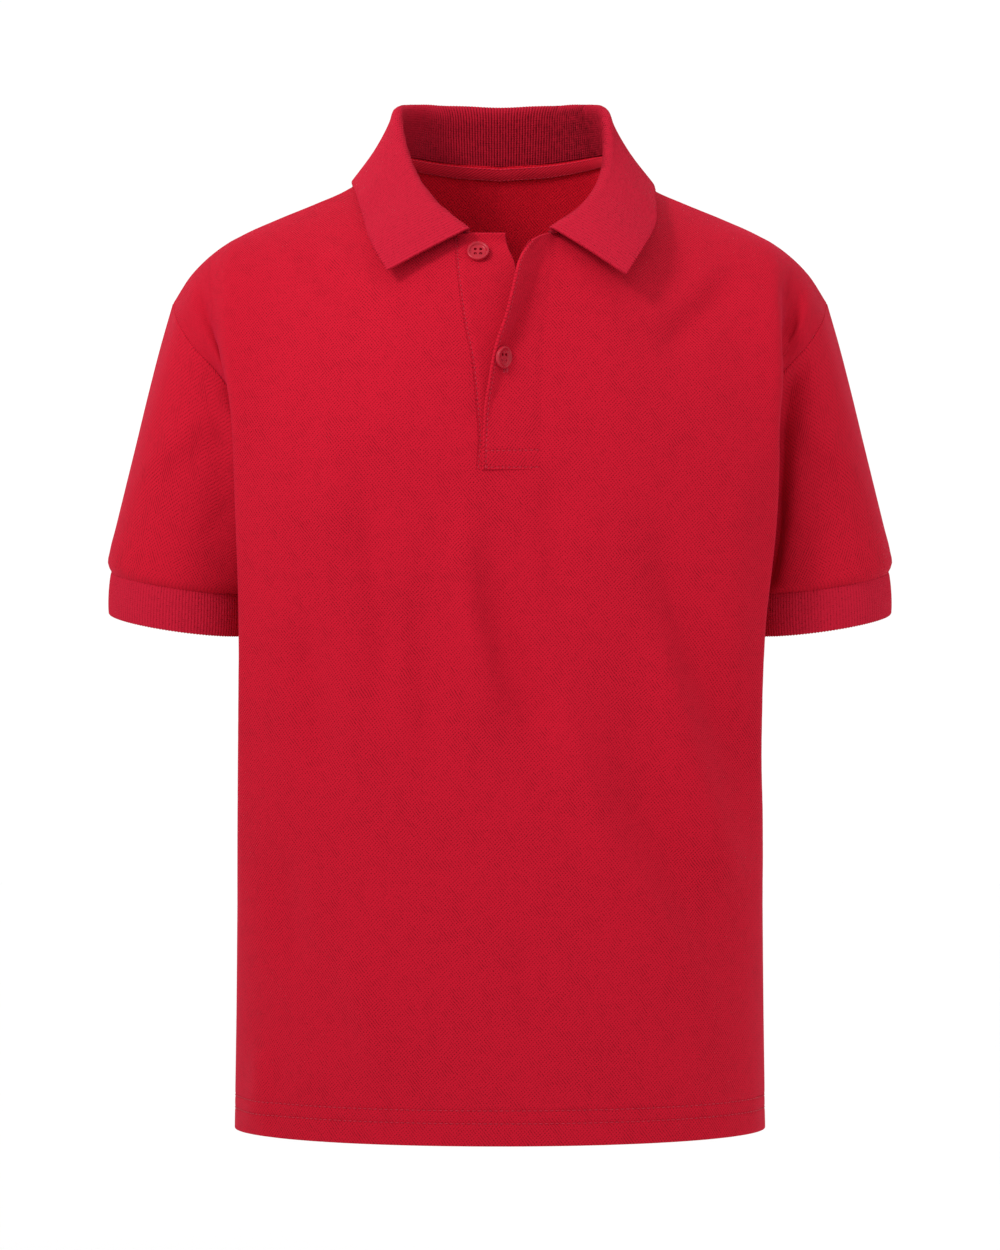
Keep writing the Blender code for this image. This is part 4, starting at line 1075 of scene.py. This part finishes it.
def makePlacket(name, node, pointAt, lines, easing, facing):
    # lines says which gap each stitched line keeps to, and how wide it is there
    width, height = placket["underWidth"], -placket["foot"] + placket["overTopZ"]
    fold = placketMesh["fold"]
    shares = closeSteps(width, placketMesh["columns"],
                        [placketMesh["seamStitch"], width - placketMesh["stitchIn"], width - fold])
    heights = closeSteps(height, placketMesh["rows"], [*placketMesh["boxLines"], height - fold])
    grid = placketGrid(pointAt, shares, heights, easing)
    normals = gridNormals(grid, np.array(facing))
    gaps = placketGaps(grid)
    near = np.min([abs(gaps[k] - away) for k, away in lines], axis=0)
    groove = placketMesh["groove"] * np.exp(-((near / placketMesh["grooveWidth"]) ** 2))
    grid = grid - normals * groove[..., None]
    thick = placketWall(gaps)
    piece = clothPiece(name, grid, clothPlace(grid), placket["wall"], piqueKnit,
                       edgeRound=placketMesh["edgeRound"], thick=thick)
    return {"piece": settle(piece, "pique", node), "grid": grid, "normals": normals, "gaps": gaps,
            "outside": grid + normals * (thick * placket["wall"] / 2)[..., None]}


underHalf = makePlacket("placket_under_fold", "placket_under", underPoint,
                        [(0, placketMesh["seamStitch"])], 0, (0, -1, 0.2))
overHalf = makePlacket("placket_over_fold", "placket_over", overPoint,
                       [(1, placketMesh["stitchIn"]), *((2, line) for line in placketMesh["boxLines"])],
                       placketMesh["easing"], (0.15, -1, 0.2))
print("collar and placket made")


# Neck tape

tape = {"width": 0.0088, "below": -0.0006, "off": 0.0013, "crown": 0.0007, "wall": 0.0008,
        "edgeRound": 0.0002}


def makeTape():
    # it follows the back just under the neck seam
    count, middle = torso["neckColumns"], len(panelShares) - 1
    wanted = tape["below"] + tape["width"] * np.linspace(0, 1, 13)
    columns = []
    for line in backForm[::-1, middle - count + 1:middle + count].swapaxes(0, 1):
        columns.append(readLine(wanted, runs(line), line))
    grid = np.array(columns).transpose(1, 0, 2)[:, 2:-2]
    normals = gridNormals(grid, np.array([0, -1, 0.0]))
    crown = tape["crown"] * np.sin(np.linspace(0, math.pi, len(grid))) ** 0.7
    grid = grid + normals * (tape["off"] + crown)[:, None, None]
    piece = clothPiece("neck_tape_twill", grid, clothPlace(grid), tape["wall"], twillTape,
                       edgeRound=tape["edgeRound"])
    return settle(piece, "tape", "neck_tape"), grid, normals


tapePiece, tapeGrid, tapeNormals = makeTape()


# Buttons

# The rim stands round a well whose side slopes over wellSide. topOff and lowOff are how far the two
# stand off the cloth.
button = {"radius": 0.0063, "thick": 0.0024, "rim": 0.0014, "well": 0.0011, "wellSide": 0.0005,
          "turned": 0.00055, "hole": 0.00090, "spread": 0.00155, "topX": -0.0123, "topZ": -0.0449,
          "topOff": 0.0006, "lowAcross": 0.65, "lowZ": -0.1065, "lowOff": 0.0014, "thread": 0.00040}


def makeButton(name, seat, normal, node):
    startClean()
    radius, thick = button["radius"], button["thick"]
    bpy.ops.mesh.primitive_cylinder_add(vertices=64, radius=radius, depth=thick, location=(0, 0, thick / 2))
    piece = bpy.context.object
    piece.name = piece.data.name = name
    selectFaces(piece, [face.normal.z > 0.9 for face in piece.data.polygons])
    bpy.ops.mesh.inset(thickness=button["rim"], depth=0)
    bpy.ops.mesh.inset(thickness=button["wellSide"], depth=-button["well"])
    bpy.ops.object.mode_set(mode="OBJECT")
    roundEdges(piece, button["turned"], 3, 25)
    applyAll(piece)
    reach = button["spread"] * math.sqrt(2)
    for angle in (math.pi / 4 + k * math.pi / 2 for k in range(4)):
        bpy.ops.mesh.primitive_cylinder_add(vertices=20, radius=button["hole"], depth=thick * 4,
                                            location=(reach * math.cos(angle), reach * math.sin(angle), 0))
        drill = bpy.context.object
        startClean(piece)
        hole = piece.modifiers.new("hole", "BOOLEAN")
        hole.operation, hole.object = "DIFFERENCE", drill
        applyAll(piece)
        bpy.data.objects.remove(drill, do_unlink=True)
    finishPiece(piece, satinButton, 40)
    turn = Vector(normal).to_track_quat("Z", "Y").to_matrix().to_4x4()
    turn.translation = Vector(seat)
    piece.data.transform(turn)
    settle(piece, "button", node)
    return turn


def topButton():
    x, z = button["topX"], button["topZ"]
    share = (x - seamX(placket["underSeam"], z)) / placket["underWidth"]
    normal = frontPoint(x, z, 1.0) - frontPoint(x, z, 0.0)
    seat = frontPoint(x, z, -placket["lap"] * share) + normal * (placket["wall"] / 2 + button["topOff"])
    return makeButton("button_top_disc", seat, normal, "button_top")


def lowButton():
    height = (button["lowZ"] - placket["foot"]) / (placket["overEdge"][-1][0] - placket["foot"])
    step, place = 0.10, button["lowAcross"]
    across = overPoint(place + step, height) - overPoint(place - step, height)
    up = overPoint(place, height + step) - overPoint(place, height - step)
    normal = unit(np.cross(up, across))
    normal *= -np.sign(normal[1])
    seat = overPoint(place, height) + normal * (placket["wall"] / 2 + button["lowOff"])
    return makeButton("button_low_disc", seat, normal, "button_low")


buttonTurns = [topButton(), lowButton()]
print("buttons made")


# Stitches

# Each kind of seam has its stitches' pitch, length and radius; sink is how deep they lie in the cloth
stitch = {"hem": (0.0031, 0.0023, 0.00032), "placket": (0.0029, 0.0020, 0.00032),
          "tape": (0.0026, 0.0021, 0.0002), "sink": 0.00008}
buttonhole = {"half": 0.0068, "aside": 0.0009, "rows": 10, "pitch": 0.00048, "length": 0.0015,
              "radius": 0.00026}


def stitchShape():
    startClean()
    bpy.ops.mesh.primitive_uv_sphere_add(segments=6, ring_count=5, radius=1)
    ball = bpy.context.object
    points = np.array([v.co for v in ball.data.vertices])
    faces = [tuple(p.vertices) for p in ball.data.polygons]
    bpy.data.objects.remove(ball, do_unlink=True)
    return points, faces


ballPoints, ballFaces = stitchShape()


def stitchPiece(name, stitches):
    # one joined mesh; each stitch is its middle, its way along, its way out, its length and radius
    points, faces = [], []
    for middle, ahead, up, length, radius in stitches:
        ahead = unit(ahead)
        up = unit(up - ahead * up.dot(ahead))
        turn = np.array([np.cross(ahead, up) * radius, up * radius, ahead * length / 2])
        faces += [tuple(len(points) + v for v in face) for face in ballFaces]
        points += [tuple(p) for p in middle + ballPoints @ turn]
    mesh = bpy.data.meshes.new(name)
    mesh.from_pydata(points, [], faces)
    piece = bpy.data.objects.new(name, mesh)
    bpy.context.scene.collection.objects.link(piece)
    startClean(piece)
    turnFacesOut()
    bpy.ops.object.shade_smooth()
    mesh.materials.append(polyesterThread)
    settle(piece, "pique")


def alongSeams(lines, kind):
    # stitches end to end; each line is its points and the way out of the cloth at each
    pitch, length, radius = stitch[kind]
    stitches = []
    for path, outward in lines:
        reach = runs(path)
        count = max(int(reach[-1] / pitch), 1)
        for k in range(count):
            at = (k + 0.5) * reach[-1] / count
            middle, before, after = readLine(at + np.array([0, -0.5, 0.5]) * length, reach, path)
            up = readLine(at, reach, outward)
            middle = middle + unit(up) * (radius - stitch["sink"])
            stitches.append((middle, after - before, up, length, radius))
    return stitches


def hemLines():
    for form, face in ((frontForm, -1), (backForm, 1)):
        normals = gridNormals(form, np.array([0, face, 0.3]))[:, 1:-1]
        for row in hem["rows"]:
            k = nearest(form[:, 0, 2], hem["z"] + row)
            yield form[k, 1:-1] + normals[k] * torso["wall"] / 2, normals[k]


def onPlacket(half, rows, away):
    # a line over a placket half at whole rows, so far from its seam, or from its free edge if below 0
    columns = np.arange(half["grid"].shape[1])
    line = []
    for row in rows:
        known = half["gaps"][0][row] if away > 0 else -half["gaps"][1][row]
        at = np.interp(away, known, columns)
        line.append([readLine(at, columns, half[part][row]) for part in ("outside", "normals")])
    return np.array(line).swapaxes(0, 1)


def placketLines():
    lines = [onPlacket(overHalf, range(len(overHalf["grid"])), -placketMesh["stitchIn"]),
             onPlacket(underHalf, range(len(underHalf["grid"])), placketMesh["seamStitch"])]
    for height in placketMesh["boxLines"]:
        row = nearest(overHalf["gaps"][2][:, 0], height)
        lines.append((overHalf["outside"][row, 1:-3], overHalf["normals"][row, 1:-3]))
    return lines


def buttonholeStitches():
    # satin stitches crosswise on both sides of an upright slit
    stitches = []
    middle = nearest(overHalf["grid"][:, -1, 2], button["lowZ"])
    fromEdge = (1 - button["lowAcross"]) * overHalf["gaps"][0][middle, -1]
    rows = range(middle - buttonhole["rows"], middle + buttonhole["rows"] + 1)
    for side in (-1, 1):
        away = fromEdge + side * buttonhole["aside"]
        path, outward = onPlacket(overHalf, rows, -away)
        ahead, _ = onPlacket(overHalf, rows, -away - 0.0005)
        reach = runs(path)
        for at in np.arange(reach[-1] / 2 - buttonhole["half"], reach[-1] / 2 + buttonhole["half"],
                            buttonhole["pitch"]):
            point, up, far = (readLine(at, reach, source) for source in (path, outward, ahead))
            stitches.append((point, far - point, up, buttonhole["length"], buttonhole["radius"]))
    return stitches


def buttonBars():
    # the thread under each button, seen down its holes
    for turn in buttonTurns:
        ways = np.array(turn.to_3x3())
        for side in (-1, 1):
            middle = np.array(turn @ Vector((side * button["spread"], 0, -0.0003)))
            yield middle, ways[:, 1], ways[:, 2], button["spread"] * 3.2, button["thread"]


def tapeLines():
    outside = tapeGrid + tapeNormals * tape["wall"] / 2
    return [(outside[row], tapeNormals[row]) for row in (1, len(tapeGrid) - 2)]


stitchPiece("hem_stitches", alongSeams(hemLines(), "hem"))
stitchPiece("placket_stitches", alongSeams(placketLines(), "placket") + buttonholeStitches())
stitchPiece("button_thread", buttonBars())
stitchPiece("tape_stitches", alongSeams(tapeLines(), "tape"))
print("stitches made")


# Floor, light and camera

stage = {"floorZ": -0.80, "floorSize": 14.0, "floorColour": "#FDFDFD"}


def makeFloor():
    startClean()
    bpy.ops.mesh.primitive_plane_add(size=stage["floorSize"], location=(0, 0, stage["floorZ"]))
    floor = bpy.context.object
    floor.name = "studio_floor"
    made, _, shader = newMaterial("matt_white_paper", 0.9, 0.1)
    shader.inputs["Base Color"].default_value = linear(stage["floorColour"])
    floor.data.materials.append(made)


makeFloor()

light = {"world": 1.03, "keyPower": 0.85, "keySize": 0.5, "keySpread": 34, "keyAt": (-1.08, -1.15, 1.02),
         "aim": (-0.05, -0.06, 0.01)}


def makeLight():
    world = bpy.context.scene.world or bpy.data.worlds.new("studio")
    bpy.context.scene.world = world
    world.use_nodes = True
    surroundings = world.node_tree.nodes["Background"]
    surroundings.inputs["Color"].default_value = (1, 1, 1, 1)
    surroundings.inputs["Strength"].default_value = light["world"]
    bpy.ops.object.light_add(type="AREA", location=light["keyAt"])
    key = bpy.context.object
    key.name = "key_softbox"
    key.data.energy, key.data.size = light["keyPower"], light["keySize"]
    key.data.spread = math.radians(light["keySpread"])
    key.rotation_euler = (Vector(light["aim"]) - Vector(light["keyAt"])).to_track_quat("-Z", "Y").to_euler()


makeLight()

cameraView = {"at": (0.0, -2.6, -0.2527), "lens": 129.8}


def makeCamera():
    bpy.ops.object.camera_add(location=cameraView["at"], rotation=(math.pi / 2, 0, 0))
    camera = bpy.context.object
    camera.data.lens = cameraView["lens"]
    camera.data.sensor_width = 36.0
    bpy.context.scene.camera = camera


makeCamera()
bpy.context.scene.view_settings.view_transform = "Standard"

print("scene ready")
